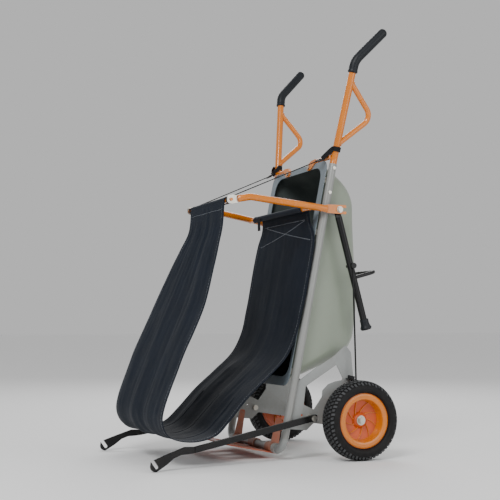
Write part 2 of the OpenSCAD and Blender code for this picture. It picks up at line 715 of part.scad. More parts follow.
module webbing_loops() color("#101010") both() difference() {
    reach = unit(cord_top - strap_at);
    union() {
        rod(strap_at - placed_dir * 12, strap_at + placed_dir * 12, handle_r + 2.4);
        rod(strap_at + reach * (handle_r + 1.4), cord_top - reach * 4.6, 3);
    }
    rod(strap_at - placed_dir * 20, strap_at + placed_dir * 20, handle_r + face_gap);
}

placed_dir = unit(placed(neck + handle_dir * 100) - placed(neck));

module buckles() color("#181818") both() rod(cord_top + cord_dir * 2, cord_top - cord_dir * 16, 5, $fn = 16);

axle();
axle_spacers();
axle_nuts();
side_rail_right();
side_rail_left();
toe_tube();
toe_collars();
gusset_right();
gusset_left();
tub();
tub_spacers();
handle_right();
handle_left();
hand_loop_right();
hand_loop_left();
grip_right();
grip_left();
handle_foot_right();
handle_foot_left();
foot_bolts();
stand_lugs();
pivot_bolts();
rail_rivets();
link_guides();
arm_bolts();
tyre_right();
tyre_left();
rim_right();
rim_left();
leg_right();
leg_left();
stand_bar();
foot_right();
foot_left();
stand_knobs();
link_rod_right();
link_rod_left();
arm_bar_right();
arm_bar_left();
arm_hook_right();
arm_hook_left();
toe_plate();
toe_sleeves();
toe_ears();
side_tube_right();
side_tube_left();
fork_right();
fork_left();
tip_plates();
front_cross_bar();
rear_cross_bar();
sling_panel();
front_loop();
rear_loop();
strap_tail();
stay_cord_right();
stay_cord_left();
webbing_loops();
buckles();
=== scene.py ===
"""Looks for an upright yard cart: tread, ribs, shell, cloth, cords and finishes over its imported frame."""

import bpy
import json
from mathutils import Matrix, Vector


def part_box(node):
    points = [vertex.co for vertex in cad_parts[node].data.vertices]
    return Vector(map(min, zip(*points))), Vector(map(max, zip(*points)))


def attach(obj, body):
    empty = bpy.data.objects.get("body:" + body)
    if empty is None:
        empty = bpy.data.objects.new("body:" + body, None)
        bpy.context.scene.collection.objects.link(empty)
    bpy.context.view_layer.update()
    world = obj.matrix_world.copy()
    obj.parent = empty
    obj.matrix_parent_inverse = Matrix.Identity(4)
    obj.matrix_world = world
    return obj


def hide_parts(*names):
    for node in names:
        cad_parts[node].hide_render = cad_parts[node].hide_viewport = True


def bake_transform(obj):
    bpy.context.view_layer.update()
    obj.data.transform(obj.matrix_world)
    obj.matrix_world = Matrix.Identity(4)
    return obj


bl_info = {
    "name": "Upright Yard Cart",
    "version": (1, 0, 0),
    "blender": (4, 5, 0),
    "location": "View3D > Sidebar > Yard Cart",
    "description": "Builds the visible pieces of an upright yard cart with a log sling",
    "category": "Object",
}

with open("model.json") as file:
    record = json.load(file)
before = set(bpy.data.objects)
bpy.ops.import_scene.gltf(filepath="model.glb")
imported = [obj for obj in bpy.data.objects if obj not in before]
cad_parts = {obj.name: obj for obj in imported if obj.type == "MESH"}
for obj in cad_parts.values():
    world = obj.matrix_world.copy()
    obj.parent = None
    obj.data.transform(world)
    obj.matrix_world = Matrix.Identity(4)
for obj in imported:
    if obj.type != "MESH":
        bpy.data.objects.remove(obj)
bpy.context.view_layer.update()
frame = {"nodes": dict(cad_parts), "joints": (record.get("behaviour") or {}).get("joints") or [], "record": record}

import json
import math

import bpy
from mathutils import Matrix, Vector, noise

JOINTS = {joint["name"]: joint for joint in frame["joints"]}
AXLE = Vector(JOINTS["right_wheel_spin"]["pos_m"])
PIVOT = Vector(JOINTS["sling_frame_lift"]["pos_m"])


def middle(node):
    """The middle of a CAD node's box."""
    low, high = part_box(node)
    return (low + high) / 2


FRONT_BAR = middle("front_cross_bar")
BACK_BAR = middle("rear_cross_bar")
RAIL_X = middle("side_rail_right").x


# ---- sizes and colours that a user would change ----


def length(name, description, default, low=0.0, high=1.0):
    return bpy.props.FloatProperty(
        name=name, description=description, default=default, min=low, max=high,
        unit="LENGTH", subtype="DISTANCE",
    )


def colour(name, description, default):
    return bpy.props.FloatVectorProperty(
        name=name, description=description, default=default, size=3, min=0.0, max=1.0, subtype="COLOR"
    )


class CartSizes(bpy.types.PropertyGroup):
    """Sizes of the pieces that are made over the frame."""

    lean: bpy.props.FloatProperty(
        name="Lean", description="Lean of the side rails back from upright", default=math.radians(11.5),
        min=0.0, max=0.5, unit="ROTATION", subtype="ANGLE",
    )
    rail_ahead: length("Rail Ahead", "Distance from the axle forward to the rails", 0.209)
    rail_top: length("Rail Top", "Height of the rails' ends above the axle, along the rails", 0.788)
    handle_radius: length("Handle Radius", "Radius of the handle tubes", 0.0115)
    handle_length: length("Handle Length", "Length of the handle tubes up to the grips", 0.286)
    handle_splay: bpy.props.FloatProperty(
        name="Handle Splay", description="Outward splay of the handles", default=math.radians(11.3),
        min=0.0, max=0.5, unit="ROTATION", subtype="ANGLE",
    )
    grip_radius: length("Grip Radius", "Radius of the rubber grips", 0.0150)
    loop_radius: length("Loop Radius", "Radius of the hand loops' rod", 0.0090)
    tread_pitches: bpy.props.IntProperty(
        name="Tread Pitches", description="Times that the tread pattern repeats round a tyre",
        default=58, min=20, max=90,
    )
    tread_depth: length("Tread Depth", "Height of the tread blocks over the groove floor", 0.0032)
    rib_count: bpy.props.IntProperty(
        name="Rib Count", description="Curved ribs on each rim", default=9, min=3, max=20,
    )
    rib_width: length("Rib Width", "Thickness of the rims' ribs", 0.0024)
    tub_sheet: length("Tub Sheet", "Thickness of the tub's sheet steel", 0.0020)
    cloth: length("Cloth Thickness", "Thickness of the sling's cloth", 0.0022)
    hem: length("Hem Width", "Width of the sling's hems", 0.018)
    stitch: length("Stitch Length", "Length of one stitch", 0.0065)
    cord_diameter: length("Cord Diameter", "Diameter of the stay cords", 0.0032)


class CartColours(bpy.types.PropertyGroup):
    """Base colours of the finishes, some with painted shade or painted reflection in them."""

    orange: colour("Orange Paint", "Handles, sling frame and rims", (0.66, 0.180, 0.0))
    # Rim dish colour: the rims' orange, darker and redder, as painted shade in the recessed web.
    dish_painted_shade: colour("Rim Dish Painted Shade", "Recessed web of the rims", (0.62, 0.085, 0.002))
    red_orange: colour("Toe Plate Paint", "Toe plate and its ears", (0.55, 0.070, 0.012))
    grey: colour("Frame Paint", "Rails, toe tube and gussets", (0.30, 0.315, 0.31))
    # Outside of the tub: grey paint with a greenish cast that is a painted reflection of the surroundings.
    tub: colour("Tub Paint And Reflection", "Outside of the tub", (0.275, 0.315, 0.250))
    # Inside of the tub: the grey steel painted dark charcoal as painted shade.
    tub_inside_painted_shade: colour("Tub Inside Painted Shade", "Inside of the tub", (0.046, 0.056, 0.054))
    flange: colour("Flange Paint", "Tub's front flange", (0.165, 0.205, 0.235))
    black: colour("Black Paint", "Stand, link rods and extension arms", (0.0035, 0.0035, 0.004))
    rubber: colour("Rubber", "Tyres", (0.006, 0.006, 0.0065))
    grip: colour("Grip Rubber", "Grips and stand feet", (0.006, 0.008, 0.011))
    cloth: colour("Sling Cloth", "Sling", (0.0050, 0.0085, 0.0155))
    thread: colour("Thread", "Sling's stitching", (0.27, 0.29, 0.32))
    webbing: colour("Webbing", "Straps and cords", (0.006, 0.006, 0.007))
    zinc: colour("Zinc", "Bolts, nuts, rivets and tip plates", (0.62, 0.60, 0.56))


def sizes():
    return bpy.context.scene.cart_sizes


def colours():
    return bpy.context.scene.cart_colours


def placed(x, t, s):
    """A point given as x, distance behind the axle square to the rails, and height up the rails."""
    lean = sizes().lean
    back = t * math.cos(lean) + s * math.sin(lean)
    up = s * math.cos(lean) - t * math.sin(lean)
    return Vector((x, AXLE.y + back, AXLE.z + up))


# ---- shader node groups ----


def new_group(name, inputs, outputs):
    """A shader node group; inputs maps names to defaults. Colour and Tint are colours, the rest numbers."""
    group = bpy.data.node_groups.new(name, "ShaderNodeTree")
    for way, labels in (("INPUT", inputs), ("OUTPUT", outputs)):
        for label in labels:
            kind = "NodeSocketColor" if label in ("Colour", "Tint") else "NodeSocketFloat"
            socket = group.interface.new_socket(label, in_out=way, socket_type=kind)
            if way == "INPUT":
                socket.default_value = inputs[label]
    return group, group.nodes.new("NodeGroupInput").outputs, group.nodes.new("NodeGroupOutput").inputs


def node(tree, kind, links=None, **values):
    """A new node; links maps an input's name or number to a value or to the socket that feeds it."""
    made = tree.nodes.new(kind)
    for key, value in values.items():
        setattr(made, key, value)
    for key, source in (links or {}).items():
        if isinstance(source, bpy.types.NodeSocket):
            tree.links.new(source, made.inputs[key])
        else:
            made.inputs[key].default_value = source
    return made


def sums(tree, operation, *terms):
    """The output of a math node; each term is a socket or a number."""
    return node(tree, "ShaderNodeMath", dict(enumerate(terms)), operation=operation).outputs[0]


def remap(tree, value, low, high, to_low=0.0, to_high=1.0):
    """The output of a map range node."""
    links = {"Value": value, "From Min": low, "From Max": high, "To Min": to_low, "To Max": to_high}
    return node(tree, "ShaderNodeMapRange", links).outputs[0]


def object_noise(tree, scale, detail=4.0, roughness=0.55, stretch=None):
    """Noise in the object's own space, stretched if asked; scale is a socket or a number."""
    where = node(tree, "ShaderNodeTexCoord").outputs["Object"]
    if stretch:
        where = node(tree, "ShaderNodeVectorMath", {0: where, 1: stretch}, operation="MULTIPLY").outputs[0]
    links = {"Vector": where, "Scale": scale, "Detail": detail, "Roughness": roughness}
    return node(tree, "ShaderNodeTexNoise", links).outputs["Fac"]


def blotch_group():
    """Slow colour change over a surface: Colour drifts towards Tint."""
    group, given, out = new_group(
        "Blotch", {"Colour": (1, 1, 1, 1), "Tint": (0.5, 0.5, 0.5, 1), "Scale": 8.0, "Amount": 0.3},
        ["Colour", "Mask"],
    )
    spread = remap(group, object_noise(group, given["Scale"], 5.0), 0.38, 0.66)
    mask = sums(group, "MULTIPLY", spread, given["Amount"])
    mix = node(group, "ShaderNodeMix", data_type="RGBA")
    group.links.new(mask, mix.inputs["Factor"])
    group.links.new(given["Colour"], mix.inputs[6])
    group.links.new(given["Tint"], mix.inputs[7])
    group.links.new(mix.outputs[2], out["Colour"])
    group.links.new(mask, out["Mask"])
    return group


def wear_group():
    """Worn and scuffed places: a mask that is high on convex edges, broken up by noise."""
    group, given, out = new_group("Edge Wear", {"Scale": 120.0, "Edge": 0.54, "Amount": 0.6}, ["Mask"])
    point = node(group, "ShaderNodeNewGeometry").outputs["Pointiness"]
    shifted = sums(group, "MULTIPLY_ADD", object_noise(group, given["Scale"], 3.0), 0.06, point)
    edge = remap(group, shifted, given["Edge"], sums(group, "ADD", given["Edge"], 0.05))
    group.links.new(sums(group, "MULTIPLY", edge, given["Amount"]), out["Mask"])
    return group


def dust_group():
    """Dust and dirt in specks that are denser low down."""
    group, given, out = new_group("Dust", {"Scale": 30.0, "Amount": 0.2, "Reach": 0.25}, ["Mask"])
    where = node(group, "ShaderNodeTexCoord").outputs["Object"]
    height = node(group, "ShaderNodeSeparateXYZ", {0: where}).outputs["Z"]
    low = remap(group, height, given["Reach"], 0.0, 0.15, 1.0)
    specks = remap(group, object_noise(group, given["Scale"], 8.0, 0.7), 0.42, 0.7)
    both = sums(group, "MULTIPLY", specks, low)
    group.links.new(sums(group, "MULTIPLY", both, given["Amount"]), out["Mask"])
    return group


def texture_group():
    """Fine surface texture at one scale, and roughness that drifts about a base value."""
    group, given, out = new_group(
        "Fine Texture", {"Scale": 900.0, "Smudge Scale": 14.0, "Base": 0.4, "Spread": 0.12},
        ["Height", "Roughness"],
    )
    smudge = object_noise(group, given["Smudge Scale"], 6.0, 0.62)
    centred = sums(group, "SUBTRACT", smudge, 0.5)
    rough = sums(group, "MULTIPLY_ADD", centred, given["Spread"], given["Base"])
    group.links.new(object_noise(group, given["Scale"], 2.0), out["Height"])
    group.links.new(rough, out["Roughness"])
    return group


def weave_group():
    """Plain weave on UVs that are in metres: height, and a mask of the crossing threads."""
    group, given, out = new_group("Weave", {"Threads": 1100.0, "Slub": 0.06}, ["Height", "Mask"])
    where = node(group, "ShaderNodeTexCoord").outputs["UV"]
    split = node(group, "ShaderNodeSeparateXYZ", {0: where}).outputs
    turn = sums(group, "MULTIPLY", given["Threads"], math.pi)
    waves = [sums(group, "SINE", sums(group, "MULTIPLY", split[axis], turn)) for axis in ("X", "Y")]
    half = sums(group, "MULTIPLY_ADD", sums(group, "MULTIPLY", *waves), 0.5, 0.5)
    slubs = object_noise(group, 320.0, 2.0, 0.5, (1.0, 1.0, 0.12))
    group.links.new(sums(group, "MULTIPLY_ADD", slubs, given["Slub"], half), out["Height"])
    group.links.new(half, out["Mask"])
    return group


def brushed_group():
    """Streaks along one direction for drawn or brushed metal."""
    group, given, out = new_group("Brushed", {"Scale": 500.0}, ["Height", "Mask"])
    group.links.new(object_noise(group, given["Scale"], 2.0, 0.5, (0.06, 1.0, 1.0)), out["Height"])
    group.links.new(object_noise(group, 60.0, 3.0), out["Mask"])
    return group


GROUPS = {}
MATERIALS = {}


def placed_group(tree, name, **values):
    """One of the shared groups placed in a material, with its own values."""
    made = tree.nodes.new("ShaderNodeGroup")
    made.node_tree = GROUPS[name]
    for key, value in values.items():
        label = key.replace("_", " ")
        made.inputs[label].default_value = (*value, 1.0) if hasattr(value, "__len__") else value
    return made


def mixed(tree, mask, base, over):
    """base, covered by the plain colour over where the mask is high."""
    mix = node(tree, "ShaderNodeMix", data_type="RGBA")
    tree.links.new(mask, mix.inputs["Factor"])
    tree.links.new(base, mix.inputs[6])
    mix.inputs[7].default_value = (*over, 1.0)
    return mix.outputs[2]


def bump(tree, height, strength, distance, normal=None):
    made = node(tree, "ShaderNodeBump", {"Height": height, "Strength": strength, "Distance": distance})
    if normal is not None:
        tree.links.new(normal, made.inputs["Normal"])
    return made.outputs["Normal"]


def blank_material(name, colour):
    """A new material under its name; returns its node tree and its shader's inputs."""
    made = bpy.data.materials.new(name)
    made.use_nodes = True
    made.diffuse_color = (*colour, 1.0)
    MATERIALS[name] = made
    return made.node_tree, made.node_tree.nodes["Principled BSDF"].inputs


def material(name, colour, tint, rough, spread=0.15, coat=0.0, coat_rough=0.1, specular=0.5,
             texture=900.0, depth=0.0001, blotch=8.0, amount=0.35,
             wear=None, dust=0.0, dust_colour=(0.22, 0.19, 0.15)):
    """A painted, rubber or plastic finish: drift in colour, smudges, fine texture, worn edges and dust."""
    tree, shader = blank_material(name, colour)
    shader["Coat Weight"].default_value = coat
    shader["Coat Roughness"].default_value = coat_rough
    shader["Specular IOR Level"].default_value = specular
    blotches = placed_group(tree, "Blotch", Colour=colour, Tint=tint, Scale=blotch, Amount=amount)
    base = blotches.outputs["Colour"]
    if wear:
        mask = placed_group(tree, "Edge Wear", Amount=wear[0], Edge=wear[1]).outputs["Mask"]
        base = mixed(tree, mask, base, wear[2])
    if dust:
        mask = placed_group(tree, "Dust", Amount=dust).outputs["Mask"]
        base = mixed(tree, mask, base, dust_colour)
    tree.links.new(base, shader["Base Color"])
    fine = placed_group(tree, "Fine Texture", Scale=texture, Base=rough, Spread=spread)
    tree.links.new(fine.outputs["Roughness"], shader["Roughness"])
    tree.links.new(bump(tree, fine.outputs["Height"], 0.6, depth), shader["Normal"])


def shade(colour, factor):
    return tuple(min(1.0, c * factor) for c in colour)


def cloth_material(name, colour, threads, rough, strength):
    """Woven cloth: weave height, crossing threads a little lighter, dusty drift in colour."""
    tree, shader = blank_material(name, colour)
    shader["Specular IOR Level"].default_value = 0.18
    weave = placed_group(tree, "Weave", Threads=threads)
    drift = placed_group(tree, "Blotch", Colour=colour, Tint=shade(colour, 1.7), Scale=11.0, Amount=0.4)
    crossings = sums(tree, "MULTIPLY", weave.outputs["Mask"], 0.3)
    lit = mixed(tree, crossings, drift.outputs["Colour"], shade(colour, 1.9))
    dusty = placed_group(tree, "Dust", Amount=0.05, Reach=0.5)
    tree.links.new(mixed(tree, dusty.outputs["Mask"], lit, (0.16, 0.15, 0.14)), shader["Base Color"])
    fine = placed_group(tree, "Fine Texture", Scale=60.0, Base=rough, Spread=0.16)
    tree.links.new(fine.outputs["Roughness"], shader["Roughness"])
    soft = bump(tree, fine.outputs["Height"], 0.35, 0.0015)
    tree.links.new(bump(tree, weave.outputs["Height"], strength, 0.00035, soft), shader["Normal"])


def zinc_material(name, colour):
    tree, shader = blank_material(name, colour)
    shader["Metallic"].default_value = 1.0
    brushed = placed_group(tree, "Brushed")
    base = placed_group(tree, "Blotch", Colour=colour, Tint=(0.50, 0.47, 0.36), Scale=70.0, Amount=0.5)
    tree.links.new(base.outputs["Colour"], shader["Base Color"])
    rough = remap(tree, brushed.outputs["Mask"], 0.0, 1.0, 0.22, 0.48)
    tree.links.new(rough, shader["Roughness"])
    tree.links.new(bump(tree, brushed.outputs["Height"], 0.25, 0.0002), shader["Normal"])


# ---- mesh helpers ----


def mesh_object(name, verts, faces, smooth=True, sharp=40.0):
    mesh = bpy.data.meshes.new(name)
    mesh.from_pydata([tuple(v) for v in verts], [], faces)
    mesh.validate()
    mesh.update()
    made = bpy.data.objects.new(name, mesh)
    bpy.context.scene.collection.objects.link(made)
    if smooth:
        mesh.shade_smooth()
        mesh.set_sharp_from_angle(angle=math.radians(sharp))
    return made


def ring_points(sides):
    """(cosine, sine) of even turns round a circle."""
    return [(math.cos(2 * math.pi * j / sides), math.sin(2 * math.pi * j / sides)) for j in range(sides)]


def band_faces(base, rows, around, flip=False):
    """Quads between neighbouring rings of points that start at base."""
    faces = []
    for i in range(rows - 1):
        for j in range(around):
            a, b = base + i * around + j, base + i * around + (j + 1) % around
            quad = (a, b, b + around, a + around)
            faces.append(quad[::-1] if flip else quad)
    return faces


def set_uvs(piece, uvs):
    """A UV map from one (u, v) for each vertex."""
    layer = piece.data.uv_layers.new(name="cloth")
    for loop in piece.data.loops:
        layer.data[loop.index].uv = uvs[loop.vertex_index]


def dress(piece, material_name, slot, body, *nodes):
    """Gives a piece its finish, its body and the CAD nodes it stands for; the slot argument is not used."""
    piece.data.materials.clear()
    piece.data.materials.append(MATERIALS[material_name])
    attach(piece, body)
    if nodes:
        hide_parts(*nodes)
    return piece


def rounded_path(points, bend, step=0.004):
    """The polyline with an arc of about the given radius at each inner corner."""
    out = [points[0]]
    for before, corner, after in zip(points, points[1:], points[2:]):
        u, v = (before - corner).normalized(), (after - corner).normalized()
        half = u.angle(v) / 2
        cut = min(bend / math.tan(half), 0.49 * (before - corner).length, 0.49 * (after - corner).length)
        radius = cut * math.tan(half)
        centre = corner + (u + v).normalized() * (radius / math.sin(half))
        first, last = corner + u * cut - centre, corner + v * cut - centre
        turn = first.angle(last)
        count = max(4, int(turn * radius / step))
        axis = first.cross(last).normalized()
        out += [centre + Matrix.Rotation(turn * i / count, 3, axis) @ first for i in range(count + 1)]
    return out + [points[-1]]


def dense(points, step):
    out = [points[0]]
    for a, b in zip(points, points[1:]):
        count = max(1, round((b - a).length / step))
        out += [a.lerp(b, i / count) for i in range(1, count + 1)]
    return out


def sweep(name, points, radius, sides=28, width=None, up=None):
    """A tube along the points. radius and width are numbers or functions of the share of its length."""
    lengths = [0.0]
    for a, b in zip(points, points[1:]):
        lengths.append(lengths[-1] + (b - a).length)
    verts, rings = [], []
    last_side = None
    for i, p in enumerate(points):
        ahead = (points[min(i + 1, len(points) - 1)] - points[max(i - 1, 0)]).normalized()
        if last_side is None:
            last_side = (up or (Vector((1, 0, 0)) if abs(ahead.x) < 0.9 else Vector((0, 1, 0)))).copy()
        side = (last_side - ahead * last_side.dot(ahead)).normalized()
        last_side = side
        other = ahead.cross(side)
        k = lengths[i] / lengths[-1]
        r = radius(k) if callable(radius) else radius
        w = r if width is None else width(k)
        rings.append(len(verts))
        for j in range(sides):
            a = 2 * math.pi * j / sides
            verts.append(p + side * (w * math.cos(a)) + other * (r * math.sin(a)))
    faces = []
    for a, b in zip(rings, rings[1:]):
        faces += [(a + j, a + (j + 1) % sides, b + (j + 1) % sides, b + j) for j in range(sides)]
    faces.append(tuple(reversed(range(rings[0], rings[0] + sides))))
    faces.append(tuple(range(rings[-1], rings[-1] + sides)))
    return mesh_object(name, verts, faces)


def joined(name, pieces):
    """Meshes in one object."""
    verts, faces = [], []
    for piece in pieces:
        base = len(verts)
        verts += [v.co.copy() for v in piece.data.vertices]
        faces += [tuple(base + i for i in p.vertices) for p in piece.data.polygons]
        bpy.data.objects.remove(piece)
    return mesh_object(name, verts, faces)


def both_sides(make):
    """Calls make(side, sign) for the right side and the left side."""
    for side, sign in (("right", 1.0), ("left", -1.0)):
        make(side, sign)


def mirrored(point, sign):
    return Vector((point.x * sign, point.y, point.z))


# ---- tyres and rims ----

TYRE_HALF = (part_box("tyre_right")[1].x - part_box("tyre_right")[0].x) / 2
TYRE_R = (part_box("tyre_right")[1].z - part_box("tyre_right")[0].z) / 2
WHEEL_X = middle("tyre_right").x
BEAD_R = 0.0852

# Half of the tyre's section: (distance from the middle plane, radius), from the crown to the bead
CROWN = [(0.0, TYRE_R), (0.010, TYRE_R - 0.0002), (0.020, TYRE_R - 0.0016), (0.0275, TYRE_R - 0.0060),
         (0.0325, TYRE_R - 0.0130), (0.0352, TYRE_R - 0.0205), (TYRE_HALF, 0.0985), (0.0346, 0.0925),
         (0.0300, 0.0885), (0.0235, BEAD_R)]


def spline(points, k):
    """A Catmull-Rom curve through the points at k from 0 to 1; points are tuples of equal length."""
    spans = len(points) - 1
    i = min(int(k * spans), spans - 1)
    u = k * spans - i
    p = [points[max(i - 1, 0)], points[i], points[i + 1], points[min(i + 2, spans)]]
    return [
        0.5 * (2 * b + (c - a) * u + (2 * a - 5 * b + 4 * c - d) * u * u + (3 * b - a - 3 * c + d) * u ** 3)
        for a, b, c, d in zip(*p)
    ]


def tread_point(k, turn, sink=0.0):
    """A point of the tyre: k from -1 to 1 across its section, turn round it, sink below the surface."""
    x, r = spline(CROWN, abs(k))
    ahead = spline(CROWN, min(abs(k) + 0.01, 1.0))
    back = spline(CROWN, max(abs(k) - 0.01, 0.0))
    slope = Vector((ahead[0] - back[0], ahead[1] - back[1])).normalized()
    x, r = x + slope.y * sink, r - slope.x * sink
    sign = 1.0 if k >= 0 else -1.0
    return Vector((sign * x, r * math.sin(turn), r * math.cos(turn)))


def tread_lug(verts, faces, k0, k1, turn0, turn1, skew, depth):
    """One tread block between k0 and k1; its far edge is turned on by skew."""
    steps = max(2, int(abs(k1 - k0) / 0.05))
    rows = []
    for i in range(steps + 1):
        share = i / steps
        k = k0 + (k1 - k0) * share
        drift = skew * share
        inset = (turn1 - turn0) * 0.07
        top_k = k0 + (k1 - k0) * min(max(share, 0.04), 0.96)
        row = [tread_point(k, turn0 + drift, depth + 0.0006), tread_point(top_k, turn0 + drift + inset, 0.0),
               tread_point(top_k, turn1 + drift - inset, 0.0), tread_point(k, turn1 + drift, depth + 0.0006)]
        rows.append(len(verts))
        verts += row
    flip = k1 < k0
    for a, b in zip(rows, rows[1:]):
        for j in range(3):
            quad = (a + j, b + j, b + j + 1, a + j + 1)
            faces.append(quad[::-1] if flip else quad)
    for row, turned in ((rows[0], True), (rows[-1], False)):
        quad = (row, row + 1, row + 2, row + 3)
        faces.append(quad[::-1] if turned != flip else quad)


def make_tyre(side, sign):
    s = sizes()
    verts, faces = [], []
    around, across = 144, 48
    for i in range(across + 1):
        k = -1 + 2 * i / across
        in_tread = 1.0 - min(max((abs(k) - 0.40) / 0.05, 0.0), 1.0)
        rib = 0.0006 if 0.66 < abs(k) < 0.70 or 0.84 < abs(k) < 0.88 else 0.0
        for j in range(around):
            verts.append(tread_point(k, 2 * math.pi * j / around, s.tread_depth * in_tread - rib))
    faces += band_faces(0, across + 1, around)
    pitch = 2 * math.pi / s.tread_pitches
    for n in range(s.tread_pitches):
        t = n * pitch
        for flip in (1, -1):
            shift = t + (0.5 * pitch if flip < 0 else 0.0)
            shoulder = 0.47 if n % 2 else 0.43
            blocks = ((0.012, 0.125, 0.0, 0.72), (0.150, 0.270, 0.45, 0.70), (0.300, shoulder, 0.0, 0.62))
            for k0, k1, late, wide in blocks:
                tread_lug(verts, faces, flip * k0, flip * k1, shift + late * pitch,
                          shift + (late + wide) * pitch, 0.22 * pitch, s.tread_depth)
    tyre = mesh_object(f"tyre_skin_{side}", verts, faces, sharp=28.0)
    tyre.location = (WHEEL_X * sign, AXLE.y, AXLE.z)
    dress(tyre, "Rubber", "tyre_rubber", f"{side}_wheel", f"tyre_{side}")


# Section of the ring on the rim's outer face: (radius, distance out from the wheel's middle plane)
RIM_FACE = [(0.0842, 0.0262), (0.0815, 0.0281), (0.0775, 0.0285), (0.0700, 0.0281), (0.0665, 0.0268),
            (0.0645, 0.0235), (0.0632, 0.0150), (0.0622, 0.0050), (0.0600, -0.0010)]
RIB_START, RIB_END = 0.0225, 0.0640


def make_ribs(side, sign):
    """Curved ribs on both faces of the rim's web, the ring round its outer face, and the tyre valve."""
    s = sizes()
    verts, faces = [], []
    steps = 14
    for n in range(s.rib_count):
        first = 2 * math.pi * n / s.rib_count
        for face in (1.0, -1.0):
            rows = []
            for i in range(steps + 1):
                share = i / steps
                r = RIB_START + (RIB_END - RIB_START) * share
                turn = first + sign * (0.75 * share - 0.22 * share * share)
                if face > 0:
                    floor, height = -0.0062 + 0.0060 * share, 0.0052 - 0.0020 * share
                else:
                    floor, height = -0.0128 - 0.0062 * share, -0.0046
                wide = s.rib_width / 2 * (1.25 - 0.35 * share) / r
                rows.append(len(verts))
                for out, half in ((-0.001 * face, 1.25), (height * 0.8, 1.0), (height, 0.6), (height, -0.6),
                                  (height * 0.8, -1.0), (-0.001 * face, -1.25)):
                    a = turn + wide * half
                    verts.append(Vector((sign * (floor + out), r * math.sin(a), r * math.cos(a))))
            for a, b in zip(rows, rows[1:]):
                for j in range(5):
                    quad = (a + j, a + j + 1, b + j + 1, b + j)
                    faces.append(quad if face * sign > 0 else quad[::-1])
            for row, back in ((rows[0], False), (rows[-1], True)):
                loop = tuple(range(row, row + 6))
                faces.append(loop[::-1] if back == (face * sign > 0) else loop)
    around = 120
    faces += band_faces(len(verts), len(RIM_FACE), around, sign < 0)
    for r, x in RIM_FACE:
        verts += [Vector((sign * x, r * sine, r * cosine)) for cosine, sine in ring_points(around)]
    ribs = mesh_object(f"rim_ribs_{side}", verts, faces, sharp=35.0)
    ribs.location = (WHEEL_X * sign, AXLE.y, AXLE.z)
    dress(ribs, "Orange Paint", "orange_paint", f"{side}_wheel")
    stem = [Vector((x * sign, 0.0, z)) for x, z in ((0.0, 0.0745), (0.006, 0.0705), (0.020, 0.0690))]

    def stem_radius(k):
        return 0.0034 if k < 0.45 else (0.0024 if k < 0.6 else 0.0029)

    valve = sweep(f"tyre_valve_{side}", dense(stem, 0.0015), stem_radius, sides=14)
    valve.location = ribs.location
    dress(valve, "Grip Rubber", "black_plastic", f"{side}_wheel")


# ---- tub ----

TUB_HALF = 0.1935
TUB_LOW, TUB_TOP = 0.062, 0.800
RIM_FRONT = 0.2265

# Depth of the tub's floor behind the flange at heights up the rails
FLOOR = [(0.205, 0.236), (0.268, 0.2385), (0.360, 0.2355), (0.474, 0.209), (0.588, 0.180),
         (0.702, 0.1505), (0.752, 0.134)]


def floor_depth(s):
    """Depth of the floor at height s, straight between the listed heights."""
    s = min(max(s, FLOOR[0][0]), FLOOR[-1][0])
    for (a, depth_a), (b, depth_b) in zip(FLOOR, FLOOR[1:]):
        if s <= b:
            return depth_a + (depth_b - depth_a) * (s - a) / (b - a)


def round_rect(half, low, high, radius, side=14, corner=12):
    """(x, height) points round a rounded rectangle, with the same count for any size."""
    arcs = []
    for x, z, first in ((half, low, -90), (half, high, 0), (-half, high, 90), (-half, low, 180)):
        cx, cz = x - math.copysign(radius, x), z + (radius if z == low else -radius)
        turns = [math.radians(first + 90 * i / corner) for i in range(corner + 1)]
        arcs.append([(cx + radius * math.cos(a), cz + radius * math.sin(a)) for a in turns])
    out = []
    for arc, following in zip(arcs, arcs[1:] + arcs[:1]):
        out += arc
        out += [tuple(a + (b - a) * i / side for a, b in zip(arc[-1], following[0])) for i in range(1, side)]
    return out


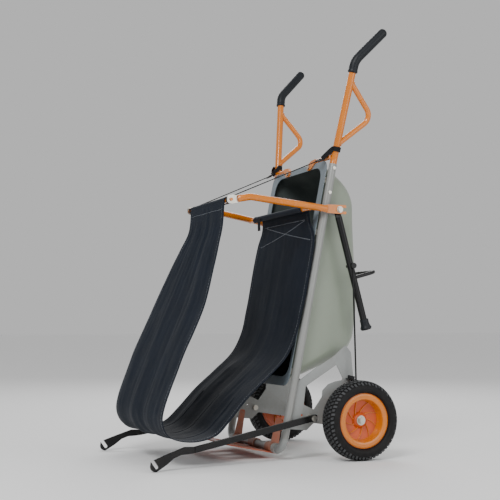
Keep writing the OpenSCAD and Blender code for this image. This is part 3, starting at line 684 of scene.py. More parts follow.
def make_tub():
    """The pressed pan and the flange round its opening."""
    s = sizes()
    rim = [Vector((x, 0.002, z)) for x, z in round_rect(TUB_HALF, TUB_LOW + 0.008, TUB_TOP - 0.008, 0.042)]
    foot = [Vector((x, floor_depth(z), z)) for x, z in round_rect(TUB_HALF - 0.027, 0.209, 0.748, 0.060)]
    rings = []
    for a, b in zip(rim, foot):
        inner = Vector((0.0, 0.0, min(max(b.z, 0.335), 0.610)))
        inner.y = floor_depth(inner.z)
        wall_end = b + (a - b) * min(0.075 / (a - b).length, 0.7)
        floor_start = b + (inner - b) * min(0.062 / (inner - b).length, 0.7)
        column = [a.lerp(wall_end, i / 12) for i in range(12)]
        for i in range(13):
            k = i / 12
            column.append(wall_end.lerp(b, k).lerp(b.lerp(floor_start, k), k))
        column += [floor_start.lerp(inner, i / 6) for i in range(1, 7)]
        rings.append(column)
    verts, faces, tall = [], [], len(rings[0])
    for column in rings:
        verts += [placed(p.x, -RIM_FRONT + p.y, p.z) for p in column]
    for i in range(len(rings)):
        j = (i + 1) % len(rings)
        for k in range(tall - 1):
            a, b = i * tall + k, j * tall + k
            faces.append((a, a + 1, b + 1, b))
    pan = mesh_object("tub_pan", verts, faces, sharp=80.0)
    weld = pan.modifiers.new("weld", "WELD")
    weld.merge_threshold = 0.0002
    sheet = pan.modifiers.new("sheet", "SOLIDIFY")
    sheet.thickness = s.tub_sheet
    sheet.offset = -1.0
    # The sheet's added faces take the second slot, the inside colour, which is painted shade.
    sheet.material_offset = 1
    dress(pan, "Tub Paint And Reflection", "tub_grey", "cart_frame", "tub")
    pan.data.materials.append(MATERIALS["Tub Inside Painted Shade"])

    out, step = TUB_HALF + 0.009, 0.522
    outer = rounded_loop([(-out, TUB_LOW), (out, TUB_LOW), (out, TUB_TOP), (-out, TUB_TOP)], [0.034] * 4)
    wide, narrow = TUB_HALF - 0.005, out - 0.030
    right = [(wide, TUB_LOW + 0.028), (wide, step - 0.040), (narrow, step), (narrow, TUB_TOP - 0.018)]
    left = [(-x, z) for x, z in reversed(right)]
    radii = [0.040, 0.040, 0.006, 0.006, 0.044, 0.044, 0.006, 0.006]
    opening = rounded_loop(left[-1:] + right + left[:-1], radii)
    curve = bpy.data.curves.new("tub_flange", "CURVE")
    curve.dimensions = "2D"
    curve.fill_mode = "BOTH"
    curve.extrude = s.tub_sheet / 2 - 0.0004
    curve.bevel_depth = 0.0007
    curve.bevel_resolution = 3
    for points in (outer, opening):
        line = curve.splines.new("POLY")
        line.points.add(len(points) - 1)
        for point, (x, z) in zip(line.points, points):
            point.co = (x, z, 0.0, 1.0)
        line.use_cyclic_u = True
    shape = bpy.data.objects.new("tub_flange_outline", curve)
    bpy.context.scene.collection.objects.link(shape)
    bpy.context.view_layer.update()
    mesh = bpy.data.meshes.new_from_object(shape.evaluated_get(bpy.context.evaluated_depsgraph_get()))
    bpy.data.objects.remove(shape)
    up, ahead = placed(0, 0, 1) - placed(0, 0, 0), placed(0, -1, 0) - placed(0, 0, 0)
    turn = Matrix((Vector((1, 0, 0)), up, ahead)).transposed().to_4x4()
    mesh.transform(Matrix.Translation(placed(0.0, -RIM_FRONT + s.tub_sheet / 2, 0.0)) @ turn)
    flange = bpy.data.objects.new("tub_flange", mesh)
    bpy.context.scene.collection.objects.link(flange)
    dress(flange, "Flange Paint", "tub_grey", "cart_frame", "tub")


def rounded_loop(points, radii):
    """A closed outline of (x, z) points with each corner rounded."""
    out = []
    for i, (corner, radius) in enumerate(zip(points, radii)):
        three = [Vector((*p, 0)) for p in (points[i - 1], corner, points[(i + 1) % len(points)])]
        out += [(p.x, p.y) for p in rounded_path(three, radius)[1:-1]]
    return out


# ---- handles, hand loops and grips ----


def handle_axis():
    splay = sizes().handle_splay
    return Vector((math.sin(splay), -0.058, math.cos(splay))).normalized()


def handle_points():
    """The handle's base, neck, grip start, grip bend and grip end in the cart's own axes."""
    s = sizes()
    base = Vector((RAIL_X, -s.rail_ahead, s.rail_top))
    neck = base + Vector((0, 0, 0.014))
    low = neck + handle_axis() * s.handle_length
    bend = low + handle_axis() * 0.040
    end = bend + Vector((0.15, 0.53, 0.84)).normalized() * 0.147
    return base, neck, low, bend, end


def cart_point(p, sign):
    return placed(p.x * sign, p.y, p.z)


def make_handle(side, sign):
    s = sizes()
    base, neck, low, bend, end = handle_points()
    tube = rounded_path([cart_point(p, sign) for p in (base, neck, bend)], 0.055)
    handle = sweep(f"handle_tube_{side}", dense(tube, 0.02), s.handle_radius, sides=32)
    dress(handle, "Orange Paint", "orange_paint", "cart_frame", f"handle_{side}")

    axis = handle_axis()
    knee_low = neck + axis * 0.150 + Vector((0.002, 0.086, 0.004))
    knee_top = knee_low + Vector((0.005, -0.004, 0.024))
    first, last = neck + axis * 0.050, neck + axis * 0.258
    out_a, out_b = (knee_low - first).normalized(), (knee_top - last).normalized()
    knee = (knee_low + knee_top) / 2 + (out_a + out_b).normalized() * 0.0170
    corners = (first + out_a * 0.004, knee, last + out_b * 0.004)
    loop = rounded_path([cart_point(p, sign) for p in corners], 0.034, 0.0025)
    loop_tube = sweep(f"hand_loop_rod_{side}", dense(loop, 0.012), s.loop_radius, sides=28)
    dress(loop_tube, "Orange Paint", "orange_paint", "cart_frame", f"hand_loop_{side}")
    beads = []
    for point, along in ((first, out_a), (last, out_b)):
        centre = cart_point(point + along * 0.0105, sign)
        ahead = (cart_point(point + along, sign) - cart_point(point, sign)).normalized()
        across = (cart_point(point + axis, sign) - cart_point(point, sign)).normalized()
        across = (across - ahead * across.dot(ahead)).normalized()
        other = ahead.cross(across)
        ring = []
        for i in range(49):
            a = 2 * math.pi * i / 48
            r = s.loop_radius + 0.0008 + 0.0004 * math.sin(9 * a)
            ring.append(centre + across * (r * 1.06 * math.cos(a)) + other * (r * math.sin(a))
                        + ahead * (0.002 * math.cos(2 * a) - 0.002))
        beads.append(sweep(f"loop_weld_{side}", ring, 0.0017, sides=8))
    dress(joined(f"loop_welds_{side}", beads), "Orange Paint", "orange_paint", "cart_frame")

    path = dense(rounded_path([cart_point(p, sign) for p in (low, bend, end)], 0.075, 0.0025), 0.0025)
    total = sum((b - a).length for a, b in zip(path, path[1:]))

    lip, dome = 0.009, 0.013

    def grip_radius(k):
        """A raised lip at the grip's start and a domed end."""
        from_start, from_end = k * total, (1.0 - k) * total
        r = s.grip_radius
        if from_start < lip:
            r += 0.0012 * math.sin(math.pi * from_start / lip) - 0.0022 * max(0.0, 1.0 - from_start / 0.002)
        if from_end < dome:
            r *= math.sqrt(max(0.0004, 1.0 - ((dome - from_end) / dome) ** 2))
        return r

    grip = sweep(f"grip_skin_{side}", path, grip_radius, sides=36)
    dress(grip, "Grip Rubber", "grip_rubber", "cart_frame", f"grip_{side}")


# The foot's profile: (share of its half height down from its middle, radius)
FOOT = [(-1.0, 0.0108), (-1.0, 0.0132), (-0.86, 0.0142), (-0.45, 0.0138), (-0.05, 0.0142), (0.30, 0.0158),
        (0.56, 0.0182), (0.66, 0.0188), (0.76, 0.0182), (0.80, 0.0172), (0.95, 0.0168), (1.0, 0.0150),
        (1.0, 0.0001)]
FOOT_HALF = 0.0172


def make_foot(side):
    """A flared rubber cup on the end of a leg."""
    foot = middle(f"foot_{side}")
    down = Vector((0.0, foot.y - PIVOT.y, foot.z - PIVOT.z)).normalized()
    across = Vector((1, 0, 0))
    other = down.cross(across)
    verts, sides = [], 40
    for k, r in FOOT:
        centre = foot + down * (k * FOOT_HALF)
        verts += [centre + across * (r * cosine) + other * (r * sine) for cosine, sine in ring_points(sides)]
    cup = mesh_object(f"foot_cup_{side}", verts, band_faces(0, len(FOOT), sides), sharp=50.0)
    dress(cup, "Grip Rubber", "grip_rubber", "stand", f"foot_{side}")


# ---- sling frame ----

FRONT_BAR_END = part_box("tip_plates")[1].x - 0.002


def make_side_tube(side, sign):
    fork = middle(f"fork_{side}")
    start = Vector((abs(fork.x), PIVOT.y - 0.043, PIVOT.z))
    knee = Vector((abs(fork.x) - 0.0525, PIVOT.y - 0.289, PIVOT.z + 0.032))
    end = Vector((FRONT_BAR_END + 0.003, PIVOT.y - 0.326, PIVOT.z + 0.025))
    path = rounded_path([mirrored(p, sign) for p in (start, knee, end)], 0.040, 0.003)
    length_m = sum((b - a).length for a, b in zip(path, path[1:]))
    radius = (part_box(f"side_tube_{side}")[1].z - knee.z) * 0.98

    def flat(k):
        """The tube narrows where it is pressed over the fork and the tip plate."""
        near = min(k, 1 - k) * length_m
        return radius * (0.62 + 0.38 * min(1.0, near / 0.022) ** 0.5)

    tube = sweep(f"side_tube_skin_{side}", dense(path, 0.004), lambda k: radius, sides=32, width=flat)
    dress(tube, "Orange Paint", "orange_paint", "sling_frame", f"side_tube_{side}")


# ---- sling ----

# Down the front panel: distance behind the front bar, height below it, extra half width
FRONT_RUN = [(-0.0106, 0.0072, 0.0), (-0.017, 0.077, 0.004), (-0.040, 0.140, 0.026), (-0.065, 0.206, 0.052),
             (-0.110, 0.328, 0.092), (-0.172, 0.464, 0.096), (-0.196, 0.524, 0.096), (-0.232, 0.620, 0.092),
             (-0.240, 0.672, 0.090), (-0.222, 0.712, 0.088), (-0.184, 0.729, 0.090), (-0.130, 0.732, 0.092),
             (-0.070, 0.716, 0.090), (-0.024, 0.674, 0.086), (0.038, 0.608, 0.080), (0.108, 0.547, 0.074)]
# Up the rear panel: distance ahead of the tub's flange, height up the rails, extra half width
REAR_RUN = [(0.030, 0.150, 0.072), (0.008, 0.225, 0.070), (0.005, 0.305, 0.072), (0.0045, 0.390, 0.074),
            (0.0045, 0.470, 0.074), (0.006, 0.540, 0.068), (0.014, 0.590, 0.036), (0.026, 0.632, 0.030)]
REAR_POCKET = 0.036  # extra half width of the rear pocket
WRAP = 12  # steps of cloth round each cross bar
FINE = 1200  # steps of the whole line
TOP_HALF = (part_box("front_loop")[1].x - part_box("front_loop")[0].x) / 2
BAR_R = (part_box("front_cross_bar")[1].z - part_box("front_cross_bar")[0].z) / 2


def sling_stations():
    """The sling's cut edge to cut edge line: (distance back, height, half width) of each station."""
    wrap = BAR_R + 0.0030
    out = []
    for i in range(WRAP + 1):
        a = math.radians(-62 + 262 * i / WRAP)
        out.append((FRONT_BAR.y + wrap * math.cos(a), FRONT_BAR.z + wrap * math.sin(a), TOP_HALF))
    out += [(FRONT_BAR.y + y, FRONT_BAR.z - z, TOP_HALF + w) for y, z, w in FRONT_RUN[1:]]
    for ahead, up, w in REAR_RUN:
        p = placed(0.0, -RIM_FRONT - ahead, up)
        out.append((p.y, p.z, TOP_HALF + w))
    wide = TOP_HALF + REAR_POCKET
    for i in range(WRAP + 1):
        a = math.radians(-20 + 262 * i / WRAP)
        out.append((BACK_BAR.y + wrap * math.cos(a), BACK_BAR.z + wrap * math.sin(a), wide))
    return out


def clamped(k):
    return min(max(k, 0.0), 1.0)


class Cloth:
    """The sling's surface: a line down the front panel, round the bottom and up the rear panel."""

    def __init__(self):
        self.knots = sling_stations()
        fine = [spline(self.knots, i / FINE) for i in range(FINE + 1)]
        self.line = [fine[0]]
        self.at = [0.0]
        for a, b in zip(fine, fine[1:]):
            self.line.append(b)
            self.at.append(self.at[-1] + math.hypot(b[0] - a[0], b[1] - a[1]))
        self.length = self.at[-1]
        self.front_end = self.distance_to(WRAP)
        self.rear_start = self.distance_to(len(self.knots) - 1 - WRAP)
        self.widest = 2 * max(k[2] for k in self.knots)

    def distance_to(self, knot):
        return self.at[int(FINE * knot / (len(self.knots) - 1))]

    def station(self, d):
        d = min(max(d, 0.0), self.length)
        low, high = 0, len(self.at) - 1
        while high - low > 1:
            mid = (low + high) // 2
            low, high = (mid, high) if self.at[mid] <= d else (low, mid)
        k = (d - self.at[low]) / max(self.at[high] - self.at[low], 1e-9)
        return [a + (b - a) * k for a, b in zip(self.line[low], self.line[high])]

    def normal(self, d):
        a, b = self.station(d - 0.004), self.station(d + 0.004)
        along = Vector((0, b[0] - a[0], b[1] - a[1])).normalized()
        return Vector((0, along.z, -along.y))

    def point(self, u, d, lift=0.0):
        """u from -1 to 1 across the cloth, d along it, lift outward on the front face."""
        y, z, half = self.station(d)
        free = clamped((d - self.front_end - 0.004) / 0.10) * clamped((self.rear_start - 0.004 - d) / 0.07)
        free = free * free * (3 - 2 * free)
        rear = clamped((d / self.length - 0.66) / 0.05)
        edge = 1.0 - abs(u) ** 6
        long_fold = noise.noise(Vector((u * 3.1 + 7.0, d * 1.1, 2.0)))
        small = noise.noise(Vector((u * 9.0, d * 6.0 + 3.0, 5.0)))
        fine = noise.noise(Vector((u * 22.0, d * 21.0, 9.0)))
        amount = free * (0.0085 * long_fold + 0.0030 * small + 0.0009 * fine) * (0.35 + 0.65 * edge)
        pleat = 0.0
        for start, sign in ((self.front_end, 1.0), (self.rear_start, -1.0)):
            off = (d - start) * sign
            if off > 0:
                wave = math.sin(u * 17 + 1.7 * math.sin(u * 5))
                pleat += 0.0012 * math.exp(-off / 0.07) * min(off / 0.02, 1.0) * wave
        move = amount + pleat
        if rear > 0:
            move = (1 - rear) * move + rear * abs(move) * 0.35
        ripple = 0.004 * free * noise.noise(Vector((d * 7.0, 4.0 if u > 0 else 11.0, 1.0)))
        x = u * (half - 0.0015) + (ripple * abs(u) ** 5 if u > 0 else -ripple * abs(u) ** 5)
        return Vector((x, y, z)) + self.normal(d) * (move + lift)


def cloth_frame(cloth, u, d, lift):
    """The point, outward normal and the two directions in the cloth at u, d."""
    p = cloth.point(u, d, lift)
    more, less = min(u + 0.01, 1.0), max(u - 0.01, -1.0)
    across = (cloth.point(more, d, lift) - cloth.point(less, d, lift)).normalized()
    along = (cloth.point(u, d + 0.003, lift) - cloth.point(u, d - 0.003, lift)).normalized()
    return p, across.cross(along).normalized(), across, along


def stitch_row(verts, faces, cloth, points, lift, size, wide=0.0009, high=0.0005):
    """Stitches along a run of (u, d) points, on the side of the cloth given by the sign of lift."""
    run = [cloth_frame(cloth, u, d, lift) for u, d in points]
    lengths = [0.0]
    for a, b in zip(run, run[1:]):
        lengths.append(lengths[-1] + (b[0] - a[0]).length)
    pitch = size * 1.45
    out = 1.0 if lift >= 0 else -1.0
    spot, i = 0.0, 0
    while spot + size < lengths[-1]:
        ends = []
        for where in (spot, spot + size):
            while i < len(run) - 2 and lengths[i + 1] < where:
                i += 1
            k = (where - lengths[i]) / max(lengths[i + 1] - lengths[i], 1e-9)
            ends.append((run[i][0].lerp(run[i + 1][0], k), run[i][1] * out))
        (a, up), (b, _) = ends
        ahead = (b - a).normalized()
        side = ahead.cross(up).normalized()
        base = len(verts)
        for share, tall in ((0.0, 0.1), (0.18, 0.85), (0.82, 0.85), (1.0, 0.1)):
            c = a.lerp(b, share)
            for step, rise in ((-0.5, 0.0), (-0.3, tall), (0.3, tall), (0.5, 0.0)):
                verts.append(c + side * (wide * step) + up * (high * rise))
        faces += strip_faces(base, 4)
        spot += pitch


def strip_faces(base, rows):
    """Quads between neighbouring rows of four points that start at base."""
    corners = [base + 4 * i + j for i in range(rows - 1) for j in range(3)]
    return [(q, q + 1, q + 5, q + 4) for q in corners]


def line_of(u0, d0, u1, d1, count=60):
    return [(u0 + (u1 - u0) * i / count, d0 + (d1 - d0) * i / count) for i in range(count + 1)]


def make_sling():
    s = sizes()
    cloth = Cloth()
    across, along = 72, int(cloth.length / 0.0065)
    verts, uvs, weights = [], [], []
    for i in range(along + 1):
        d = cloth.length * i / along
        half = cloth.station(d)[2]
        for j in range(across + 1):
            u = -1 + 2 * j / across
            verts.append(cloth.point(u, d))
            uvs.append((u * half, d))
            weights.append(1.0 if (1 - abs(u)) * half < s.hem else 0.5)
    faces = []
    for i in range(along):
        for j in range(across):
            a = i * (across + 1) + j
            faces.append((a, a + 1, a + across + 2, a + across + 1))
    sling = mesh_object("sling_cloth", verts, faces, sharp=180.0)
    set_uvs(sling, uvs)
    group = sling.vertex_groups.new(name="hem")
    for index, weight in enumerate(weights):
        group.add([index], weight, "REPLACE")
    thick = sling.modifiers.new("thickness", "SOLIDIFY")
    thick.thickness = s.cloth
    thick.offset = 0.0
    thick.vertex_group = "hem"
    dress(sling, "Sling Cloth", "sling_fabric", "sling_frame", "sling_panel", "front_loop", "rear_loop")

    seams = make_seams(cloth)
    stitching = make_stitching(cloth)


def make_seams(cloth):
    """Folded seams that stand a little off the cloth: along the front panel and across both pockets."""
    verts, faces = [], []
    start, end = cloth.front_end + 0.012, cloth.length * 0.60
    rows = [line_of(u, start, u * 1.02, end, 160) for u in (-0.52, 0.02, 0.54)]
    for d in (cloth.front_end + 0.030, cloth.rear_start - 0.030):
        rows.append(line_of(-0.985, d, 0.985, d, 90))
    for row in rows:
        base = len(verts)
        for u, d in row:
            p, normal, across, along = cloth_frame(cloth, u, d, 0.0)
            side = across if row[0][0] != -0.985 else along
            for step, rise in ((-0.0042, 0.0006), (-0.0034, 0.0019), (0.0034, 0.0019), (0.0042, 0.0006)):
                verts.append(p + side * step + normal * rise)
        faces += strip_faces(base, len(row))
    seams = mesh_object("sling_seams", verts, faces)
    set_uvs(seams, [(v.x, v.z) for v in verts])
    return dress(seams, "Sling Cloth", "sling_fabric", "sling_frame")


def make_stitching(cloth):
    """Stitching: both hems, both pockets and the crossed rows on the rear panel."""
    s = sizes()
    verts, faces = [], []
    skin = s.cloth / 2 + 0.0001
    for lift in (skin, -skin):
        for u in (-1.0, 1.0):
            start, end = cloth.front_end + 0.01, cloth.rear_start - 0.01
            run = []
            for i in range(321):
                d = start + (end - start) * i / 320
                run.append((u * (1 - s.hem * 0.85 / cloth.station(d)[2]), d))
            stitch_row(verts, faces, cloth, run, lift, s.stitch)
        for d in (cloth.front_end + 0.0225, cloth.rear_start - 0.0225):
            stitch_row(verts, faces, cloth, line_of(-0.98, d, 0.98, d), lift, s.stitch)
    low, high, reach = cloth.rear_start - 0.118, cloth.rear_start - 0.050, 0.86
    crossed = ((-reach, low, reach, 0.0016), (reach, low, -reach, 0.0016), (-reach, high, reach, 0.0014))
    for lift in (skin, -skin):
        for u0, d0, u1, wide in crossed:
            run = line_of(u0, d0, u1, high, 120)
            stitch_row(verts, faces, cloth, run, lift, s.stitch * 1.3, wide, 0.0007)
    stitches = mesh_object("sling_stitching", verts, faces, sharp=60.0)
    return dress(stitches, "Thread", "sling_fabric", "sling_frame")


# ---- straps and cords ----


def webbing_strip(name, points, side, width, thick=0.0016):
    """A flat strap along the points; side is the direction of its width."""
    verts, faces, uvs = [], [], []
    run = 0.0
    for i, p in enumerate(points):
        ahead = (points[min(i + 1, len(points) - 1)] - points[max(i - 1, 0)]).normalized()
        across = (side - ahead * side.dot(ahead)).normalized()
        up = ahead.cross(across)
        run += (p - points[i - 1]).length if i else 0.0
        for a, b in ((-1, -0.5), (-0.96, 0.5), (0.96, 0.5), (1, -0.5)):
            verts.append(p + across * (a * width / 2) + up * (b * thick))
            uvs.append((a * width / 2, run))
    for i in range(len(points) - 1):
        for j in range(4):
            q = i * 4
            faces.append((q + j, q + (j + 1) % 4, q + 4 + (j + 1) % 4, q + 4 + j))
    faces += [(3, 2, 1, 0), tuple(len(verts) - 4 + j for j in range(4))]
    strip = mesh_object(name, verts, faces, sharp=35.0)
    set_uvs(strip, uvs)
    return strip


def make_stay(side, sign):
    """Webbing round the handle's foot, its buckle and the taut cord down to the front bar."""
    s = sizes()
    neck = handle_points()[1]
    centre = cart_point(neck + handle_axis() * 0.036, sign)
    ahead = (cart_point(neck + handle_axis() * 0.1, sign) - cart_point(neck, sign)).normalized()
    top = Vector((abs(centre.x) - 0.028, centre.y - 0.040, centre.z - 0.032))
    low = Vector((FRONT_BAR_END - 0.014, FRONT_BAR.y + 0.003, FRONT_BAR.z + BAR_R + s.cord_diameter / 2))
    top, low = mirrored(top, sign), mirrored(low, sign)
    along = (top - low).normalized()
    leave = (top - centre).normalized()
    flat = (leave - ahead * leave.dot(ahead)).normalized()
    other = ahead.cross(flat)
    band_r = 0.0142
    ring = [centre + flat * (band_r * math.cos(a)) + other * (band_r * math.sin(a))
            for a in (math.radians(50 + 260 * i / 40) for i in range(41))]
    shares = (0.2, 0.4, 0.6, 0.8, 0.94)
    tail_a = [ring[-1].lerp(top, k) - other * (0.004 * math.sin(math.pi * k)) for k in shares]
    tail_b = [ring[0].lerp(top, k) + other * (0.004 * math.sin(math.pi * k)) for k in reversed(shares)]
    band = webbing_strip(f"handle_webbing_{side}", tail_b + ring + tail_a, ahead, 0.016)
    dress(band, "Webbing", "webbing", "cart_frame", "webbing_loops")

    frame_side = along.cross(Vector((0, 1, 0))).normalized()
    depth = along.cross(frame_side)
    buckle_parts, half_buckle = [], 0.0125
    for offset in (0.002, -0.007, -0.015):
        c = top + along * offset
        bar = [c - frame_side * half_buckle, c + frame_side * half_buckle]
        buckle_parts.append(sweep("buckle_bar", dense(bar, 0.004), 0.0021, sides=12, up=depth))
    for edge in (-half_buckle, half_buckle):
        rail = [top + along * 0.003 + frame_side * edge, top - along * 0.016 + frame_side * edge * 0.8]
        buckle_parts.append(sweep("buckle_rail", dense(rail, 0.004), 0.0024, sides=12, up=depth))
    dress(joined(f"buckle_{side}", buckle_parts), "Black Plastic", "black_plastic", "cart_frame", "buckles")

    start = top - along * 0.0162
    cord_r, count = s.cord_diameter / 2, 90
    path = [start.lerp(low, i / count) for i in range(count + 1)]

    def lay(k):
        """Cord's radius with the swell of its strands."""
        return cord_r * (1 + 0.05 * math.sin(k * 620))

    strand = sweep(f"stay_cord_skin_{side}", path, lay, sides=12)
    strand.data.materials.clear()
    strand.data.materials.append(MATERIALS["Cord"])
    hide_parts(f"stay_cord_{side}")
    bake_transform(strand)
    knot = []
    for turn_at in (0.0, 0.0035, -0.0035):
        c = Vector((low.x + turn_at, FRONT_BAR.y, FRONT_BAR.z))
        ring = [c + Vector((0, cosine, sine)) * (BAR_R + cord_r) for cosine, sine in ring_points(32)]
        knot.append(sweep("cord_turn", ring + ring[:1], cord_r, sides=10))
    dress(joined(f"cord_hitch_{side}", knot), "Cord", "cord", "sling_frame")


def make_strap_tail():
    """The seat strap's loose end below the rear bar, with a little curl."""
    low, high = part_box("strap_tail")
    x, drop = middle("strap_tail").x, low.z + 0.001 - high.z
    shares = [i / 16 for i in range(17)]
    points = [Vector((x, low.y - 0.0012 * math.sin(k * 2.6), high.z + drop * k)) for k in shares]
    strip = webbing_strip("strap_end", points, Vector((1, 0, 0)), 0.020)
    dress(strip, "Webbing", "webbing", "sling_frame", "strap_tail")


# ---- finishes of the frame's own nodes ----

FINISHES = {
    "galvanised_grey": "Frame Paint", "tub_grey": "Tub Paint And Reflection", "orange_paint": "Orange Paint",
    "red_orange_paint": "Toe Plate Paint", "black_paint": "Black Paint", "zinc": "Zinc",
    "tyre_rubber": "Rubber", "grip_rubber": "Grip Rubber", "black_plastic": "Black Plastic",
    "sling_fabric": "Sling Cloth", "webbing": "Webbing", "cord": "Cord",
}


def make_groups():
    GROUPS.update({
        "Blotch": blotch_group(), "Edge Wear": wear_group(), "Dust": dust_group(),
        "Fine Texture": texture_group(), "Weave": weave_group(), "Brushed": brushed_group(),
    })


def make_materials():
    c = colours()
    material("Orange Paint", c.orange, shade(c.orange, 0.80), 0.26, 0.16, coat=0.55, coat_rough=0.06,
             texture=420.0, depth=0.00006, amount=0.5, dust=0.10)
    # The rim's dish is the orange painted darker and redder: painted shade in its recess.
    material("Rim Dish Painted Shade", c.dish_painted_shade, shade(c.dish_painted_shade, 0.66), 0.38, 0.2, coat=0.1, texture=420.0, blotch=22.0,
             amount=0.6, dust=0.25)
    material("Toe Plate Paint", c.red_orange, shade(c.red_orange, 0.62), 0.42, 0.25, coat=0.1, texture=420.0,
             amount=0.6, wear=(0.6, 0.60, (0.25, 0.17, 0.12)), dust=0.5)
    material("Frame Paint", c.grey, shade(c.grey, 0.78), 0.33, 0.20, coat=0.2, texture=500.0, amount=0.5,
             wear=(0.4, 0.62, (0.22, 0.21, 0.19)), dust=0.2)
    # Tub outside: grey paint plus a painted greenish reflection in its colour.
    material("Tub Paint And Reflection", c.tub, shade(c.tub, 0.84), 0.34, 0.18, coat=0.15, texture=300.0, depth=0.0002,
             blotch=4.0, amount=0.6, wear=(0.3, 0.58, (0.25, 0.24, 0.21)), dust=0.22)
    # Tub inside: a dark colour that is painted shade, with dark dust.
    material("Tub Inside Painted Shade", c.tub_inside_painted_shade, shade(c.tub_inside_painted_shade, 2.2), 0.60, 0.25, specular=0.15, texture=300.0,
             blotch=6.0, amount=0.6, dust=0.2, dust_colour=(0.05, 0.045, 0.04))
    material("Flange Paint", c.flange, shade(c.flange, 0.75), 0.32, 0.2, coat=0.2, texture=500.0, amount=0.6,
             wear=(0.4, 0.58, (0.15, 0.15, 0.15)), dust=0.15)
    material("Black Paint", c.black, shade(c.black, 2.0), 0.24, 0.20, specular=0.32, texture=600.0,
             amount=0.5, dust=0.04)
    material("Rubber", c.rubber, shade(c.rubber, 1.9), 0.62, 0.2, specular=0.22, texture=700.0, depth=0.0003,
             blotch=18.0, amount=0.6, wear=(0.8, 0.56, (0.075, 0.078, 0.082)), dust=0.16,
             dust_colour=(0.06, 0.052, 0.045))
    material("Grip Rubber", c.grip, shade(c.grip, 1.7), 0.44, 0.2, specular=0.3, texture=1400.0,
             depth=0.0003, amount=0.5, wear=(0.2, 0.64, (0.03, 0.03, 0.03)), dust=0.05)
    material("Black Plastic", (0.008, 0.008, 0.009), (0.016, 0.016, 0.017), 0.40, 0.2, specular=0.3,
             texture=1500.0, depth=0.0003)
    cloth_material("Sling Cloth", c.cloth, 2300.0, 0.66, 0.25)
    cloth_material("Thread", c.thread, 3200.0, 0.7, 0.3)
    cloth_material("Webbing", c.webbing, 1400.0, 0.6, 0.8)
    cloth_material("Cord", c.webbing, 3000.0, 0.6, 0.8)
    zinc_material("Zinc", c.zinc)


def paint_frame():
    for part in frame["record"]["subparts"]:
        made = frame["nodes"][part["node"]]
        made.data.materials.clear()
        made.data.materials.append(MATERIALS[FINISHES[part["material_slot"]]])
    for side in ("right", "left"):
        # The rims' recessed web takes the dish colour, which is painted shade.
        frame["nodes"][f"rim_{side}"].data.materials[0] = MATERIALS["Rim Dish Painted Shade"]


# ---- camera, floor and light ----


def stage_light(name, place, target, size, watts):
    data = bpy.data.lights.new(name, "AREA")
    data.shape = "SQUARE"
    data.size = size
    data.energy = watts
    lamp = bpy.data.objects.new(name, data)
    lamp.location = place
    lamp.rotation_euler = (Vector(target) - Vector(place)).to_track_quat("-Z", "Y").to_euler()
    bpy.context.scene.collection.objects.link(lamp)


def make_stage():
    scene = bpy.context.scene
    corners = [(-40, -40, 0), (40, -40, 0), (40, 40, 0), (-40, 40, 0)]
    floor = mesh_object("floor", corners, [(0, 1, 2, 3)], smooth=False)
    pale = bpy.data.materials.new("Floor")
    pale.use_nodes = True
    shader = pale.node_tree.nodes["Principled BSDF"]
    shader.inputs["Base Color"].default_value = (0.95, 0.95, 0.95, 1.0)
    shader.inputs["Roughness"].default_value = 0.9
    floor.data.materials.append(pale)

    world = bpy.data.worlds.new("Studio")
    world.use_nodes = True
    sky = world.node_tree.nodes["Background"]
    sky.inputs["Color"].default_value = (1.0, 1.0, 1.0, 1.0)
    sky.inputs["Strength"].default_value = 0.58
    scene.world = world
    stage_light("key", (2.6, -2.4, 3.2), (0, 0, 0.6), 1.4, 105.0)
    stage_light("fill", (3.4, 1.6, 1.6), (0, 0, 0.6), 2.4, 35.0)
    stage_light("rim", (-2.4, 1.2, 2.8), (0, 0, 0.8), 2.0, 45.0)

    data = bpy.data.cameras.new("camera")
    data.lens = 70.44
    data.sensor_width = 36.0
    camera = bpy.data.objects.new("camera", data)
    azimuth, pitch = math.radians(66.10), math.radians(4.40)
    camera.location = (2.965, -1.2848, 0.4185)
    level = math.cos(pitch)
    forward = Vector((-math.sin(azimuth) * level, math.cos(azimuth) * level, math.sin(pitch)))
    camera.rotation_euler = forward.to_track_quat("-Z", "Y").to_euler()
    scene.collection.objects.link(camera)
    scene.camera = camera


# ---- operators ----


class CART_OT_finishes(bpy.types.Operator):
    """Makes the cart's finishes and gives the frame's own nodes theirs."""

    bl_idname = "cart.finishes"
    bl_label = "Finishes"
    bl_options = {"REGISTER", "UNDO"}

    def execute(self, context):
        make_groups()
        make_materials()
        paint_frame()
        return {"FINISHED"}


class CART_OT_tub(bpy.types.Operator):
    """Builds the tub's pressed pan and its flange."""

    bl_idname = "cart.tub"
    bl_label = "Tub"
    bl_options = {"REGISTER", "UNDO"}

    def execute(self, context):
        make_tub()
        return {"FINISHED"}


class CART_OT_tyres(bpy.types.Operator):
    """Builds both tyres with their tread blocks."""

    bl_idname = "cart.tyres"
    bl_label = "Tyres"
    bl_options = {"REGISTER", "UNDO"}

    def execute(self, context):
        both_sides(make_tyre)
        return {"FINISHED"}


class CART_OT_ribs(bpy.types.Operator):
    """Adds the curved ribs and the valve to both rims."""

    bl_idname = "cart.ribs"
    bl_label = "Rim Ribs"
    bl_options = {"REGISTER", "UNDO"}

    def execute(self, context):
        both_sides(make_ribs)
        return {"FINISHED"}


class CART_OT_handles(bpy.types.Operator):
    """Builds both handles, their hand loops and grips."""

    bl_idname = "cart.handles"
    bl_label = "Handles"
    bl_options = {"REGISTER", "UNDO"}

    def execute(self, context):
        both_sides(make_handle)
        return {"FINISHED"}


class CART_OT_feet(bpy.types.Operator):
    """Builds the stand's two flared rubber feet."""

    bl_idname = "cart.feet"
    bl_label = "Stand Feet"
    bl_options = {"REGISTER", "UNDO"}

    def execute(self, context):
        make_foot("right")
        make_foot("left")
        return {"FINISHED"}


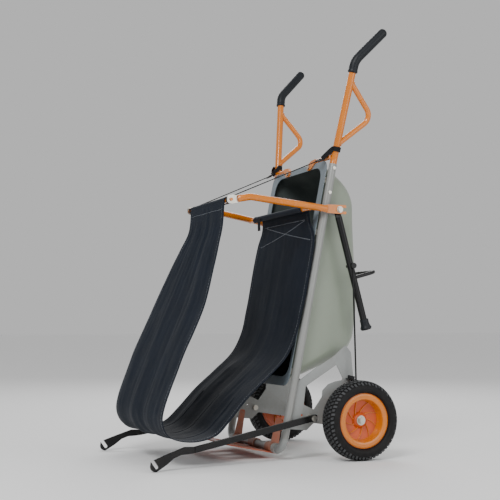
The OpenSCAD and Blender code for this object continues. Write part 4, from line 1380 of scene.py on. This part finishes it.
class CART_OT_sling_frame(bpy.types.Operator):
    """Builds the sling frame's two side tubes."""

    bl_idname = "cart.sling_frame"
    bl_label = "Sling Frame Tubes"
    bl_options = {"REGISTER", "UNDO"}

    def execute(self, context):
        both_sides(make_side_tube)
        return {"FINISHED"}


class CART_OT_sling(bpy.types.Operator):
    """Builds the hanging sling with its seams and stitching."""

    bl_idname = "cart.sling"
    bl_label = "Sling"
    bl_options = {"REGISTER", "UNDO"}

    def execute(self, context):
        make_sling()
        return {"FINISHED"}


class CART_OT_stays(bpy.types.Operator):
    """Builds the webbing, buckles, stay cords and the strap's loose end."""

    bl_idname = "cart.stays"
    bl_label = "Straps and Cords"
    bl_options = {"REGISTER", "UNDO"}

    def execute(self, context):
        both_sides(make_stay)
        make_strap_tail()
        return {"FINISHED"}


class CART_OT_stage(bpy.types.Operator):
    """Adds the floor, the light and the camera."""

    bl_idname = "cart.stage"
    bl_label = "Stage"
    bl_options = {"REGISTER", "UNDO"}

    def execute(self, context):
        make_stage()
        return {"FINISHED"}


STEPS = (CART_OT_finishes, CART_OT_tub, CART_OT_tyres, CART_OT_ribs, CART_OT_handles, CART_OT_feet,
         CART_OT_sling_frame, CART_OT_sling, CART_OT_stays, CART_OT_stage)


class CART_PT_panel(bpy.types.Panel):
    """Sidebar panel that lists the cart's steps, sizes and colours."""

    bl_idname = "CART_PT_panel"
    bl_label = "Upright Yard Cart"
    bl_space_type = "VIEW_3D"
    bl_region_type = "UI"
    bl_category = "Yard Cart"

    def draw(self, context):
        layout = self.layout
        for step in STEPS:
            layout.operator(step.bl_idname)
        for group in (context.scene.cart_sizes, context.scene.cart_colours):
            box = layout.box()
            for name in group.bl_rna.properties.keys():
                if name not in ("rna_type", "name"):
                    box.prop(group, name)


CLASSES = (CartSizes, CartColours, *STEPS, CART_PT_panel)


def register():
    for cls in CLASSES:
        bpy.utils.register_class(cls)
    bpy.types.Scene.cart_sizes = bpy.props.PointerProperty(type=CartSizes)
    bpy.types.Scene.cart_colours = bpy.props.PointerProperty(type=CartColours)


def unregister():
    del bpy.types.Scene.cart_colours
    del bpy.types.Scene.cart_sizes
    for cls in reversed(CLASSES):
        bpy.utils.unregister_class(cls)


def main():
    register()
    for step in STEPS:
        group, name = step.bl_idname.split(".")
        getattr(getattr(bpy.ops, group), name)()


if __name__ == "__main__":
    main()
